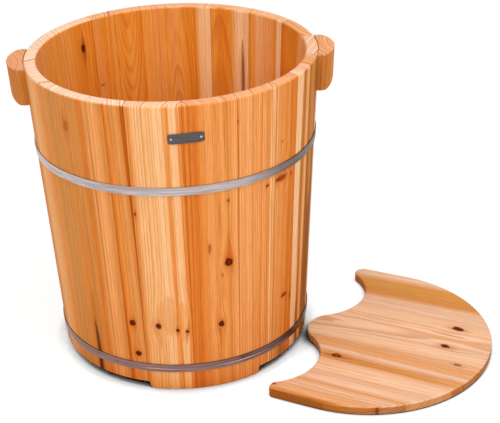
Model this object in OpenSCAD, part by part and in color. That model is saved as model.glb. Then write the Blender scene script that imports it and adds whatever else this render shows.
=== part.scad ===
// Wooden foot bath in millimetres, +Z up: a tapered tub of staves held by two steel hoops, standing on
// three feet cut into the staves, with a floor let into a groove and a grip block on each side.
// Its loose lid, with a cut-out for each leg, lies flat on the ground beside it.
// The origin is on the ground, in the middle of the space that the tub and the lid take up.

/* [Tub] */
// Height of the tub from the ground to the rim
tub_h = 400; // [300:5:480]
// Outer diameter at the rim
rim_d = 370; // [330:2:430]
// Outer diameter at the ground
foot_d = 328; // [300:2:360]
// Thickness of the staves
wall = 16; // [13:0.5:20]
// Rounding of the rim's inner and outer edges
rim_round = 3.5; // [1:0.5:6]
// Direction of the seam before the first stave, in degrees from the +X side
first_seam_turn = -124; // [-180:1:180]

/* [Feet] */
// Height of the gaps between the three feet
gap_h = 10; // [6:0.5:14]
// Angle that each foot takes up round the tub
foot_angle = 51; // [30:1:80]
// Direction of the middle of the front foot
foot_turn = -82.5; // [-120:0.5:-60]
// Rounding of the lower corners of the feet
foot_round = 6; // [1:0.5:8]
// Rounding of the upper corners of the gaps
gap_round = 3; // [1:0.5:5]

/* [Floor] */
// Thickness of the floor boards
floor_t = 14; // [10:0.5:18]
// Height of the floor's underside above the ground
floor_z = 22; // [18:0.5:40]
// Depth of the groove that holds the floor
croze_depth = 5; // [3:0.5:8]
// Play between the floor's edge and the bottom of its groove
croze_play = 0.3; // [0:0.1:1]
// Direction in which the floor boards run
floor_turn = 20; // [-90:1:90]

/* [Hoops] */
// Width of the steel strip
hoop_w = 11; // [8:0.5:16]
// Thickness of the steel strip
hoop_t = 1.4; // [1:0.1:2]
// Distance from the rim down to the middle of the upper hoop
upper_hoop_drop = 111; // [70:1:160]
// Height of the middle of the lower hoop
lower_hoop_z = 33; // [22:1:60]
// Depth of the groove rolled into the lower hoop
bead_depth = 0.6; // [0.2:0.1:0.7]
// Width of that groove
bead_w = 3.4; // [2:0.2:4]
// Direction of the lapped ends, at the back of the tub
lap_turn = 100; // [40:1:140]
// Length of the lap
lap_len = 34; // [24:1:50]
// Diameter of a rivet's shank
rivet_d = 4; // [3:0.5:5]
// Diameter of a rivet's head
rivet_head_d = 7.6; // [6.4:0.2:8]
// Height of a rivet's head
rivet_head_h = 1.6; // [1:0.1:2.4]

/* [Handles] */
// Width of a handle along the rim
handle_w = 74; // [60:1:90]
// How far a handle stands out from the rim
handle_out = 20; // [16:0.5:30]
// Height of a handle
handle_h = 47; // [36:1:60]
// Radius of a handle's two ends, seen from above
handle_end_r = 13; // [8:0.5:15]
// Rounding of the outer lower edge of a handle
handle_toe_r = 13; // [4:0.5:15]
// Direction of the right handle
right_handle_turn = -3.3; // [-20:0.1:10]
// Direction of the left handle
left_handle_turn = 182.5; // [170:0.1:190]
// Diameter of the dowels that hold a handle
dowel_d = 8; // [6:0.5:10]
// Distance between the two dowels of a handle
dowel_pitch = 34; // [24:1:44]
// How deep a dowel goes into the stave
dowel_in_stave = 9; // [5:0.5:10]
// How deep a dowel goes into the handle
dowel_in_handle = 12; // [8:0.5:14]

/* [Seam pins] */
// Diameter of the pins between neighbouring staves
pin_d = 5; // [4:0.5:6]
// Length of a pin
pin_len = 16; // [12:0.5:16]
// Height of the lower row of pins above the floor
low_pin_rise = 84; // [40:1:120]
// Distance from the rim down to the upper row of pins
high_pin_drop = 66; // [56:1:80]

/* [Lid] */
// Play between the lid and the mouth of the tub that it covers
lid_play = 1; // [0.5:0.5:6]
// Thickness of the lid boards
lid_t = 12; // [10:0.5:18]
// Rounding of the lid's edges
lid_edge = 2.5; // [1:0.5:4]
// Radius of the two leg cut-outs, as a share of half the lid's width
leg_share = 0.43; // [0.38:0.005:0.45]
// Distance between the middles of the two leg cut-outs, as such a share
pitch_share = 1.04; // [1:0.01:1.1]
// Distance from the lid's middle to the line through those two middles, as such a share
set_share = 0.64; // [0.6:0.005:0.68]
// Reach of the tongue between the legs from the lid's middle, as such a share
tongue_share = 0.476; // [0.42:0.001:0.52]
// Rounding of the lid's two horns
horn_round = 12; // [9:0.5:14]
// Direction in which the tongue points
tongue_turn = 151.5; // [140:0.5:165]
// Turn of the boards from the tongue's direction
grain_turn = -2; // [-10:0.5:10]
// Direction from the tub to the lid on the ground
lid_turn = -18.6; // [-60:0.1:20]
// Clear ground between the tub's foot and the tongue
lid_clear = 6; // [2:0.5:60]

/* [Hidden] */
$fn = 96;
PALE = [0.94, 0.76, 0.56];
HONEY = [0.88, 0.6, 0.36];
AMBER = [0.8, 0.48, 0.22];
STEEL = [0.74, 0.72, 0.72];

// Each stave's width at the rim and its tone, from the first seam on, seen from above against the clock
STAVES = [
    [24, PALE],
    [25.5, HONEY],
    [68, PALE],
    [66.5, AMBER],
    [58, HONEY],
    [40, AMBER],
    [72, PALE],
    [72.5, HONEY],
    [69.5, AMBER],
    [67, HONEY],
    [65, AMBER],
    [25, PALE],
    [44, HONEY],
    [36, HONEY],
    [41.5, AMBER],
    [39, PALE],
    [58, AMBER],
    [68, HONEY],
    [74, HONEY],
    [71, PALE],
    [77.5, HONEY],
];
// Widths of the floor boards and of the lid boards across their run, fitted to the whole width
FLOOR_BOARDS = [58, 66, 70, 64, 56];
LID_BOARDS = [[70, HONEY], [48, PALE], [78, PALE], [51, HONEY], [51, PALE], [38, PALE]];

function total(list, n) = n == 0 ? 0 : list[n - 1] + total(list, n - 1);
function pad(n) = str(n < 10 ? "0" : "", n);

stave_widths = [for (s = STAVES) s[0]];
stave_count = len(STAVES);
function seam_turn(i) = first_seam_turn + 360 * total(stave_widths, i) / total(stave_widths, stave_count);
function stave_name(i) = str("stave_", pad(i + 1));
function floor_name(i) = str("floor_board_", i + 1);
function lid_name(i) = str("lid_board_", i + 1);

// The wall's cone: its outer radius at a height, and its lean from upright
rim_r = rim_d / 2;
foot_r = foot_d / 2;
slope = (rim_r - foot_r) / tub_h;
lean = atan(slope);
function outer_r(z) = foot_r + slope * z;
function middle_r(z) = outer_r(z) - wall / 2;
// Corner circles of the rim touch its top and the sloping wall
round_in = rim_round / cos(lean);
rim_arc_z = tub_h - rim_round;
outer_arc_r = outer_r(rim_arc_z) - round_in;
inner_arc_r = outer_r(rim_arc_z) - wall + round_in;
wall_step = rim_round * sin(lean);

upper_hoop_z = tub_h - upper_hoop_drop;
low_pin_z = floor_z + floor_t + low_pin_rise;
high_pin_z = tub_h - high_pin_drop;

croze_r = outer_r(floor_z + floor_t / 2) - wall + croze_depth;
floor_r = croze_r - croze_play;
floor_widths = FLOOR_BOARDS;

bead_cut = min(bead_depth, hoop_t / 2);
lap_sink = hoop_t / 2;

feet = 3;
gap_turn = 360 / feet;
half_gap = foot_r * sin((gap_turn - foot_angle) / 2);
lower_corner = min(foot_round, gap_h - 1);
upper_corner = min(gap_round, gap_h - 1);
clear = 1;
far = 2 * rim_d;

// A handle's outline from above: a wide crown arc that runs on into two small end arcs
end_at = handle_w / 2 - handle_end_r;
crown_r = (pow(end_at, 2) + pow(handle_out, 2) - pow(handle_end_r, 2)) / 2 / (handle_out - handle_end_r);
crown_at = handle_out - crown_r;
crown_turn = atan2(end_at, -crown_at);
handle_back = handle_w / 4;
// The circles of the ends and of the toe's rounding stand out a little from what they run into
end_proud = 0.15;
toe_proud = 0.3;
handle_turns = [right_handle_turn, left_handle_turn];
dowel_z = tub_h - handle_h / 2;
dowel_from = sqrt(pow(outer_r(dowel_z), 2) - pow(dowel_pitch / 2, 2)) - dowel_in_stave;

// The lid's outline: half a circle, two straight sides, two horn tips, two leg holes and a nose between them.
// The circles of the nose and the tips touch their neighbours, but for a little that they stand out.
tip_proud = 0.25;
lid_r = rim_r - wall - lid_play;
lid_widths = [for (b = LID_BOARDS) b[0]];
leg_r = leg_share * lid_r;
leg_side = pitch_share * lid_r / 2;
leg_set = set_share * lid_r;
tongue_reach = tongue_share * lid_r;
nose_dip = leg_set - tongue_reach;
nose_r = (pow(nose_dip, 2) + pow(leg_side, 2) - pow(leg_r, 2)) / 2 / (leg_r - nose_dip);
nose_at = tongue_reach - nose_r;
nose_turn = atan2(leg_side, leg_set - nose_at);
tip_side = lid_r - horn_round;
tip_at = [leg_set - sqrt(pow(leg_r + horn_round, 2) - pow(tip_side - leg_side, 2)), tip_side];
tip_to_leg = atan2(leg_side - tip_at.y, leg_set - tip_at.x);

// The lid stands clear of the tub's foot, and the two together are centred on the origin
lid_out = foot_r + lid_clear + tongue_reach;
lid_from_tub = lid_out * [cos(lid_turn), sin(lid_turn)];
left_reach = (rim_r + crown_at) * cos(left_handle_turn - 180) + crown_r;
right_reach = max(lid_from_tub.x + lid_r, rim_r + handle_out);
front_reach = max(lid_r - lid_from_tub.y, rim_r);
back_reach = max(lid_from_tub.y + norm(tip_at) + horn_round, rim_r);
tub_at = [left_reach - right_reach, front_reach - back_reach, 0] / 2;
lid_at = tub_at + [lid_from_tub.x, lid_from_tub.y, 0];

// A stave's section: sloping faces, a rounded rim and the groove for the floor
module stave_section() {
    difference() {
        union() {
            polygon([
                [foot_r - wall, 0],
                [foot_r, 0],
                [outer_arc_r + round_in - slope * wall_step, rim_arc_z - wall_step],
                [outer_arc_r, rim_arc_z],
                [inner_arc_r, rim_arc_z],
                [inner_arc_r - round_in + slope * wall_step, rim_arc_z + wall_step],
            ]);
            translate([inner_arc_r, rim_arc_z]) square([outer_arc_r - inner_arc_r, rim_round]);
            translate([outer_arc_r, rim_arc_z]) circle(rim_round);
            translate([inner_arc_r, rim_arc_z]) circle(rim_round);
        }
        translate([foot_r - 2 * wall, floor_z]) square([croze_r - foot_r + 2 * wall, floor_t]);
    }
}

// A gap seen from outside: its upper corners are filled out and the feet's lower corners are cut back
module gap_section() {
    difference() {
        union() {
            translate([-half_gap, -clear]) square([2 * half_gap, gap_h + clear]);
            for (side = [-1, 1])
                scale([side, 1])
                    difference() {
                        translate([half_gap - clear, -clear]) square(lower_corner + clear);
                        translate([half_gap + lower_corner, lower_corner]) circle(lower_corner);
                    }
        }
        for (side = [-1, 1])
            scale([side, 1])
                difference() {
                    translate([half_gap - upper_corner, gap_h - upper_corner]) square(upper_corner + clear);
                    translate([half_gap - upper_corner, gap_h - upper_corner]) circle(upper_corner);
                }
    }
}

// Each gap is one straight notch, cut from outside towards the tub's axis
module foot_gap(i) {
    rotate([0, 0, foot_turn + (i + 0.5) * gap_turn])
        rotate([90, 0, 90])
            linear_extrude(height = far) gap_section();
}

module dowels() {
    for (turn = handle_turns, side = [-1, 1])
        rotate([0, 0, turn])
            translate([dowel_from, side * dowel_pitch / 2, dowel_z])
                rotate([0, 90, 0]) cylinder(d = dowel_d, h = dowel_in_stave + dowel_in_handle);
}

// Pins lie across the seam, in the middle of the wall
module pin(seam, z) {
    rotate([0, 0, seam_turn(seam)])
        translate([middle_r(z), 0, z])
            rotate([90, 0, 0]) cylinder(d = pin_d, h = pin_len, center = true, $fn = 32);
}

module stave(i) {
    from = seam_turn(i);
    color(STAVES[i][1])
        translate(tub_at)
            difference() {
                rotate_extrude(angle = seam_turn(i + 1) - from, start = from) stave_section();
                for (g = [0:feet - 1]) foot_gap(g);
                for (seam = [i, i + 1], z = [low_pin_z, high_pin_z]) pin(seam, z);
                dowels();
            }
}

module floor_board(i) {
    across = 2 * floor_r / total(floor_widths, len(floor_widths));
    color(HONEY)
        translate(tub_at)
            rotate([0, 0, floor_turn])
                translate([0, 0, floor_z])
                    intersection() {
                        cylinder(r = floor_r, h = floor_t);
                        translate([-far / 2, across * total(floor_widths, i) - floor_r, -clear])
                            cube([far, across * floor_widths[i], floor_t + 2 * clear]);
                    }
}

// The strip lies on the sloping wall, from one depth to another
module strip_section(z, from, to) {
    z0 = z - hoop_w / 2;
    z1 = z + hoop_w / 2;
    polygon([
        [outer_r(z0) + from, z0],
        [outer_r(z0) + to, z0],
        [outer_r(z1) + to, z1],
        [outer_r(z1) + from, z1],
    ]);
}

module bead_section(z, depth) {
    floor_at = outer_r(z) + hoop_t - depth;
    polygon([
        [floor_at + depth + clear, z - bead_w / 2 - clear],
        [floor_at, z - bead_w / 4],
        [floor_at, z + bead_w / 4],
        [floor_at + depth + clear, z + bead_w / 2 + clear],
    ]);
}

function lap_span(z) = lap_len / outer_r(z) * 180 / PI;

// The rivets stand square to the wall, at both ends of the lap
module at_rivets(z) {
    for (end = [-1, 1])
        rotate([0, 0, lap_turn + end * lap_span(z) / 4])
            translate([outer_r(z), 0, z])
                rotate([0, 90 - lean, 0]) children();
}

// A ring of strip whose last stretch laps over its start and is let into it
module hoop(z, bead) {
    span = lap_span(z);
    color(STEEL)
        translate(tub_at)
            difference() {
                union() {
                    rotate_extrude()
                        difference() {
                            strip_section(z, 0, hoop_t);
                            if (bead > 0) bead_section(z, bead);
                        }
                    rotate_extrude(angle = span, start = lap_turn - span / 2)
                        strip_section(z, hoop_t - lap_sink, 2 * hoop_t);
                }
                at_rivets(z)
                    translate([0, 0, -clear])
                        cylinder(d = rivet_d, h = 2 * hoop_t + 2 * clear, $fn = 32);
            }
}

module rivet() {
    head_r = rivet_head_d / 2;
    dome_r = (pow(head_r, 2) + pow(rivet_head_h, 2)) / 2 / rivet_head_h;
    cylinder(d = rivet_d, h = 2 * hoop_t, $fn = 32);
    translate([0, 0, 2 * hoop_t])
        intersection() {
            translate([0, 0, rivet_head_h - dome_r]) sphere(dome_r, $fn = 48);
            cylinder(r = head_r, h = rivet_head_h, $fn = 48);
        }
}

module hoop_rivets() {
    color(STEEL)
        translate(tub_at)
            for (z = [upper_hoop_z, lower_hoop_z]) at_rivets(z) rivet();
}

module handle_outline() {
    difference() {
        intersection() {
            translate([crown_at, 0]) circle(crown_r);
            translate([-handle_back, -handle_w / 2]) square([handle_back + handle_out + clear, handle_w]);
        }
        for (side = [-1, 1])
            translate([0, side * end_at])
                difference() {
                    polygon([[0, 0], handle_w * [cos(crown_turn), side * sin(crown_turn)], [0, side * handle_w]]);
                    circle(handle_end_r + end_proud);
                }
    }
}

// Seen along the rim: a straight block with its outer lower edge rounded for the fingers
module handle_side() {
    reach = handle_out + toe_proud;
    translate([-far / 2, handle_toe_r - handle_h]) square([far / 2 + reach, handle_h]);
    translate([-far / 2, -handle_h]) square([far / 2 + reach - handle_toe_r, handle_h]);
    translate([reach - handle_toe_r, handle_toe_r - handle_h]) circle(handle_toe_r);
}

// The block leans with the wall, is cut off level with the rim and is hollowed to sit on the staves
module handle(turn) {
    color(AMBER)
        translate(tub_at)
            difference() {
                intersection() {
                    rotate([0, 0, turn])
                        translate([rim_r, 0, tub_h])
                            rotate([0, lean, 0])
                                intersection() {
                                    translate([0, 0, -handle_h])
                                        linear_extrude(height = handle_h + handle_toe_r) handle_outline();
                                    rotate([90, 0, 0])
                                        linear_extrude(height = 2 * handle_w, center = true) handle_side();
                                }
                    translate([-far / 2, -far / 2, 0]) cube([far, far, tub_h]);
                }
                cylinder(r1 = foot_r, r2 = outer_r(tub_h + clear), h = tub_h + clear);
                dowels();
            }
}

module handle_dowels() {
    color(HONEY) translate(tub_at) dowels();
}

module seam_pins() {
    color(PALE)
        translate(tub_at)
            for (seam = [0:stave_count - 1], z = [low_pin_z, high_pin_z]) pin(seam, z);
}

// Half of a board's cross-section, with rounded edges
module edge_section(r) {
    square([r - lid_edge, lid_t]);
    translate([0, lid_edge]) square([r, lid_t - 2 * lid_edge]);
    for (z = [lid_edge, lid_t - lid_edge]) translate([r - lid_edge, z]) circle(lid_edge, $fn = 48);
}

// Half a disc with straight sides that run on as far as the line through the legs
module long_board() {
    rotate_extrude(angle = 180, start = 90) edge_section(lid_r);
    rotate([90, 0, 90])
        linear_extrude(height = leg_set) {
            edge_section(lid_r);
            mirror([1, 0]) edge_section(lid_r);
        }
}

// The cutter of a leg hole, flared at top and bottom so that the hole's edges come out rounded
module leg_cutter() {
    rotate_extrude()
        difference() {
            translate([0, -clear]) square([leg_r + lid_edge, lid_t + 2 * clear]);
            translate([leg_r, lid_edge]) square([2 * lid_edge, lid_t - 2 * lid_edge]);
            for (z = [lid_edge, lid_t - lid_edge]) translate([leg_r + lid_edge, z]) circle(lid_edge, $fn = 48);
        }
}

// Cuts the board back to a tip of radius r, in the wedge from one direction to another
module tip_cutter(r, from, to, reach) {
    difference() {
        translate([0, 0, -clear])
            linear_extrude(height = lid_t + 2 * clear)
                polygon([[0, 0], reach * [cos(from), sin(from)], reach * [cos(to), sin(to)]]);
        rotate_extrude() edge_section(r + tip_proud);
    }
}

// The board with two leg holes, a tongue with a round nose between them and two round horns
module lid_blank() {
    difference() {
        long_board();
        for (side = [-1, 1]) translate([leg_set, side * leg_side]) leg_cutter();
        translate([nose_at, 0]) tip_cutter(nose_r, -nose_turn, nose_turn, far);
        for (side = [-1, 1])
            translate([tip_at.x, side * tip_at.y]) tip_cutter(horn_round, side * tip_to_leg, side * 90, far);
    }
}

module lid_board(i) {
    across = 2 * lid_r / total(lid_widths, len(lid_widths));
    color(LID_BOARDS[i][1])
        translate(lid_at)
            rotate([0, 0, tongue_turn])
                intersection() {
                    lid_blank();
                    rotate([0, 0, grain_turn])
                        translate([-far / 2, across * total(lid_widths, i) - lid_r, -clear])
                            cube([far, across * lid_widths[i], lid_t + 2 * clear]);
                }
}

for (i = [0:stave_count - 1]) stave(i);
hoop(upper_hoop_z, 0);  // upper_hoop
hoop(lower_hoop_z, bead_cut);  // lower_hoop
hoop_rivets();
for (i = [0:len(FLOOR_BOARDS) - 1]) floor_board(i);
handle(left_handle_turn);  // left_handle
handle(right_handle_turn);  // right_handle
handle_dowels();
seam_pins();
for (i = [0:len(LID_BOARDS) - 1]) lid_board(i);
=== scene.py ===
"""Dresses the wooden foot bath and lights it.

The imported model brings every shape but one. This file gives each board its own grain, tones and knots,
brushes the steel, adds the bare plate on the front, and sets up the floor, the lamps and the camera.
Lengths are metres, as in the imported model. Places on a board are millimetres, which suit grain better.
"""

import logging
import math
from dataclasses import dataclass, field
from enum import Enum

import bpy
import numpy as np
from mathutils import Matrix, Vector


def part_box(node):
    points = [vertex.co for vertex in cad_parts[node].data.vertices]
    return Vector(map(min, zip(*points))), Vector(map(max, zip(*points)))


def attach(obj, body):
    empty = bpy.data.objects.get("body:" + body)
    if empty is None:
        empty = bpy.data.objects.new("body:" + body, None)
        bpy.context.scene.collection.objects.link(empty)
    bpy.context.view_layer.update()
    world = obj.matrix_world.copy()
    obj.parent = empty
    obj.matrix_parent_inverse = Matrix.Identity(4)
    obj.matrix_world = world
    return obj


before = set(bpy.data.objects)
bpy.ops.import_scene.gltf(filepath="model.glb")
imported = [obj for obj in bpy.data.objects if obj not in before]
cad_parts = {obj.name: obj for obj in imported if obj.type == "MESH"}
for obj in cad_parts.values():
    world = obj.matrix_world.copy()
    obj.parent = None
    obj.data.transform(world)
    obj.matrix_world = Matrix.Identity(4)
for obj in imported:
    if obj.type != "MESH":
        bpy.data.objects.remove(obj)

log = logging.getLogger("foot_bath")

Socket = bpy.types.NodeSocket
Feed = Socket | float | tuple[float, ...] | str
Feeds = dict[str | int, Feed]
Sockets = dict[str, Socket]
Triple = tuple[float, float, float]

MM = 1000.0
EULER = 2.718


class Tone(Enum):
    """The colours of the wood and the metal, as sRGB numbers from 0 to 255."""

    CREAM = (248, 200, 152)
    PALE = (243, 186, 130)
    SAND = (238, 165, 102)
    HONEY = (230, 152, 84)
    GOLD = (233, 156, 70)
    TAN = (214, 142, 76)
    ORANGE = (226, 136, 60)
    GINGER = (226, 139, 48)
    AMBER = (216, 121, 48)
    DEEP = (196, 98, 24)
    RUSSET = (120, 34, 6)
    NUT = (176, 106, 44)
    BROWN_AND_SHADE = (152, 92, 26)
    BROWN = (140, 76, 28)
    # Dark brown wood, used where it is partly painted shade on the tub's right side
    UMBER = (60, 8, 2)
    BLUSH = (231, 191, 161)
    ROSE = (223, 184, 156)
    CLAY = (217, 163, 119)
    OCHRE = (205, 142, 78)
    MAIZE = (208, 152, 80)
    BUFF = (214, 155, 100)
    FAWN = (224, 170, 130)
    END = (226, 182, 148)
    MILK = (236, 214, 190)
    WALNUT = (84, 20, 4)
    STEEL = (204, 191, 191)
    # The hoop steel drawn darker for the lower hoop: painted shade of its groove
    SHADED_STEEL = (146, 116, 110)
    PEWTER = (104, 98, 96)
    PAPER = (255, 255, 255)

    @property
    def linear(self) -> tuple[float, float, float, float]:
        """The tone as the shaders want it.

        Returns:
            Linear red, green and blue, with an alpha of 1.
        """
        parts = [c / 255 for c in self.value]
        r, g, b = [c / 12.92 if c <= 0.04045 else ((c + 0.055) / 1.055) ** 2.4 for c in parts]
        return (r, g, b, 1.0)


T = Tone


class Stain(Enum):
    """What a colour is multiplied by: linear red, green and blue, with an alpha of 1."""

    LATE_WOOD = (0.76, 0.5, 0.26, 1.0)
    DEEP_BAND = (0.92, 0.75, 0.5, 1.0)
    LIGHT_BAND = (1.06, 1.2, 1.5, 1.0)
    DRIFT = (0.95, 0.88, 0.76, 1.0)
    END_ARC = (0.62, 0.32, 0.18, 1.0)
    # Darkens the wood towards the bottom: a stain with painted contact shade near the floor
    LOW_STAIN_AND_SHADE = (0.84, 0.62, 0.36, 1.0)
    KNOT_HALO = (0.8, 0.46, 0.2, 1.0)
    SEAM = (0.3, 0.14, 0.06, 1.0)
    # Painted dark reflection: darkens and browns the hoops' steel on the tub's right side
    PAINTED_DARK_SIDE = (0.2, 0.12, 0.08, 1.0)


class Bench:
    """Sets nodes out in one tree and wires them up."""

    column = 180
    row = 220
    columns = 12

    def __init__(self, tree: bpy.types.NodeTree) -> None:
        """Starts on the tree that the nodes go into."""
        self.tree = tree

    def feed(self, socket: Socket, value: Feed) -> None:
        """Links a socket to another one, or sets its value.

        Args:
            socket: The input socket.
            value: An output socket, or a plain value.
        """
        if isinstance(value, Socket):
            self.tree.links.new(value, socket)
        else:
            socket.default_value = value

    def put(self, kind: str, feeds: Feeds | None = None, **settings: object) -> bpy.types.Node:
        """Adds one node.

        Args:
            kind: The node's type.
            feeds: What goes into its inputs, by name or number.
            **settings: The node's own settings.

        Returns:
            The new node.
        """
        node = self.tree.nodes.new(kind)
        down, along = divmod(len(self.tree.nodes), self.columns)
        node.location = (self.column * along, -self.row * down)
        for name, setting in settings.items():
            setattr(node, name, setting)
        for name, value in (feeds or {}).items():
            self.feed(node.inputs[name], value)
        return node

    def math(self, operation: str, *values: Feed) -> Socket:
        """Does one of the Math node's operations on some numbers, in order."""
        return self.put("ShaderNodeMath", dict(enumerate(values)), operation=operation).outputs[0]

    def times(self, a: Feed, b: Feed) -> Socket:
        """Multiplies two numbers."""
        return self.math("MULTIPLY", a, b)

    def plus(self, a: Feed, b: Feed) -> Socket:
        """Adds two numbers."""
        return self.math("ADD", a, b)

    def minus(self, a: Feed, b: Feed) -> Socket:
        """Takes the second number from the first."""
        return self.math("SUBTRACT", a, b)

    def over(self, a: Feed, b: Feed) -> Socket:
        """Divides the first number by the second."""
        return self.math("DIVIDE", a, b)

    def times_plus(self, a: Feed, b: Feed, c: Feed) -> Socket:
        """Multiplies two numbers and adds a third."""
        return self.math("MULTIPLY_ADD", a, b, c)

    def bell(self, squared: Feed) -> Socket:
        """A bell curve: Euler's number to the power of minus a squared distance."""
        return self.math("POWER", EULER, self.times(squared, -1.0))

    def join(self, x: Feed, y: Feed, z: Feed) -> Socket:
        """Makes a vector of three numbers."""
        return self.put("ShaderNodeCombineXYZ", {0: x, 1: y, 2: z}).outputs[0]

    def split(self, vector: Feed) -> tuple[Socket, Socket, Socket]:
        """Takes a vector apart into three numbers."""
        outputs = self.put("ShaderNodeSeparateXYZ", {0: vector}).outputs
        return outputs[0], outputs[1], outputs[2]

    def off(self, vector: Feed, origin: Feed) -> Socket:
        """The vector from an origin to a point."""
        return self.put("ShaderNodeVectorMath", {0: vector, 1: origin}, operation="SUBTRACT").outputs[0]

    def scaled(self, vector: Feed, by: Triple, seed: Feed) -> Socket:
        """Stretches a vector part by part and moves it by a seed, so that two boards never match."""
        feeds = {0: vector, 1: by, 2: self.join(seed, seed, seed)}
        return self.put("ShaderNodeVectorMath", feeds, operation="MULTIPLY_ADD").outputs[0]

    def step(self, value: Feed, low: Feed, high: Feed, at_low: Feed = 0.0, at_high: Feed = 1.0) -> Socket:
        """A smooth step from one result to another, while the value goes from low to high."""
        feeds = {0: value, 1: low, 2: high, 3: at_low, 4: at_high}
        return self.put("ShaderNodeMapRange", feeds, interpolation_type="SMOOTHSTEP").outputs[0]

    def noise(self, vector: Feed, detail: float, roughness: float = 0.5) -> Socket:
        """Soft noise from 0 to 1, with one blob to a unit of the vector."""
        feeds = {"Vector": vector, "Scale": 1.0, "Detail": detail, "Roughness": roughness}
        return self.put("ShaderNodeTexNoise", feeds, noise_dimensions="3D").outputs[0]

    def line_noise(self, value: Feed, detail: float) -> Socket:
        """Soft noise along one number."""
        feeds = {"W": value, "Scale": 1.0, "Detail": detail}
        return self.put("ShaderNodeTexNoise", feeds, noise_dimensions="1D").outputs[0]

    def mix(self, factor: Feed, a: Feed, b: Feed, blend: str = "MIX") -> Socket:
        """Mixes two colours: the factor, from 0 to 1, says how much of the second one."""
        feeds = {0: factor, 6: a, 7: b}
        return self.put("ShaderNodeMix", feeds, data_type="RGBA", blend_type=blend).outputs[2]

    def shade(self, colour: Feed, by: Feed) -> Socket:
        """Makes a colour lighter or darker by a number."""
        return self.mix(1.0, colour, self.join(by, by, by), "MULTIPLY")

    def stain(self, factor: Feed, colour: Feed, stain: Stain) -> Socket:
        """Stains a colour, as far as the factor says."""
        return self.mix(factor, colour, stain.value, "MULTIPLY")

    def ramp(self, factor: Feed, stops: list[tuple[float, tuple[float, ...]]]) -> Socket:
        """A run of colours along a number from 0 to 1.

        Args:
            factor: The number.
            stops: Places and their colours, in order.

        Returns:
            The colour.
        """
        node = self.put("ShaderNodeValToRGB", {0: factor})
        elements = node.color_ramp.elements
        while len(elements) < len(stops):
            elements.new(1.0)
        for element, (place, colour) in zip(elements, stops):
            element.position = min(max(place, 0.0), 1.0)
            element.color = colour
        return node.outputs[0]

    def place(self, group: bpy.types.NodeTree, feeds: Feeds) -> Sockets:
        """Puts a shared group into the tree.

        Args:
            group: The group.
            feeds: What goes into its inputs, by name.

        Returns:
            The group's outputs, by name.
        """
        node = self.put("ShaderNodeGroup", node_tree=group)
        for name, value in feeds.items():
            self.feed(node.inputs[name], value)
        return {socket.name: socket for socket in node.outputs}


class Kind(Enum):
    """The kinds of socket that a shared group has."""

    NUMBER = "NodeSocketFloat"
    VECTOR = "NodeSocketVector"
    COLOUR = "NodeSocketColor"


class Group:
    """A shared node group, built once and used by many finishes.

    In the groups, cells are blobs of noise to a unit of each direction, and a detail is a noise's detail.
    A step is where a smooth step starts and ends, and a light is the brightness at its two ends.
    """

    name = "Group"
    takes: dict[str, Kind] = {}
    gives: dict[str, Kind] = {}

    def __init__(self) -> None:
        """Makes the tree, its sockets and what is inside."""
        self.tree = bpy.data.node_groups.new(self.name, "ShaderNodeTree")
        for name, kind in self.takes.items():
            self.tree.interface.new_socket(name=name, in_out="INPUT", socket_type=kind.value)
        for name, kind in self.gives.items():
            self.tree.interface.new_socket(name=name, in_out="OUTPUT", socket_type=kind.value)
        bench = Bench(self.tree)
        inside = bench.put("NodeGroupInput")
        outside = bench.put("NodeGroupOutput")
        results = self.wire(bench, {name: inside.outputs[name] for name in self.takes})
        for name, value in results.items():
            bench.feed(outside.inputs[name], value)

    def wire(self, bench: Bench, given: Sockets) -> Sockets:
        """Lays out the group's inside: takes its inputs by name, and says what each output gets."""
        raise NotImplementedError


class StavePlace(Group):
    """Where a point lies on its stave.

    The point is moved to the tub's axis and turned so that the stave's middle lies along +X. Its angle
    times its radius is the way across, and its way in from the sloping outer face is the depth.
    """

    name = "Place on a stave"
    takes = {
        "Point": Kind.VECTOR,
        "Axis": Kind.VECTOR,
        "Middle": Kind.NUMBER,
        "Half Angle": Kind.NUMBER,
        "Foot Radius": Kind.NUMBER,
        "Slope": Kind.NUMBER,
    }
    gives = {"Board": Kind.VECTOR, "Share": Kind.NUMBER, "Edge": Kind.NUMBER}

    def wire(self, bench: Bench, given: Sockets) -> Sockets:
        """Turns the point round the axis and measures it there.

        Args:
            bench: The bench of the group's tree.
            given: The group's inputs by name.

        Returns:
            The place on the board, the share of the width and the way to the nearer seam.
        """
        turn = bench.times(given["Middle"], -1.0)
        feeds = {"Vector": given["Point"], "Center": given["Axis"], "Angle": turn}
        turned = bench.put("ShaderNodeVectorRotate", feeds, rotation_type="Z_AXIS").outputs[0]
        x, y, z = bench.split(bench.off(turned, given["Axis"]))
        radius = bench.math("SQRT", bench.plus(bench.times(x, x), bench.times(y, y)))
        angle = bench.math("ARCTAN2", y, x)
        outer = bench.times_plus(z, given["Slope"], given["Foot Radius"])
        across = bench.times(bench.times(angle, radius), MM)
        depth = bench.times(bench.minus(outer, radius), MM)
        share = bench.times_plus(bench.over(angle, given["Half Angle"]), 0.5, 0.5)
        left = bench.minus(given["Half Angle"], bench.math("ABSOLUTE", angle))
        edge = bench.times(bench.times(left, radius), MM)
        return {"Board": bench.join(across, depth, bench.times(z, MM)), "Share": share, "Edge": edge}


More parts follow.
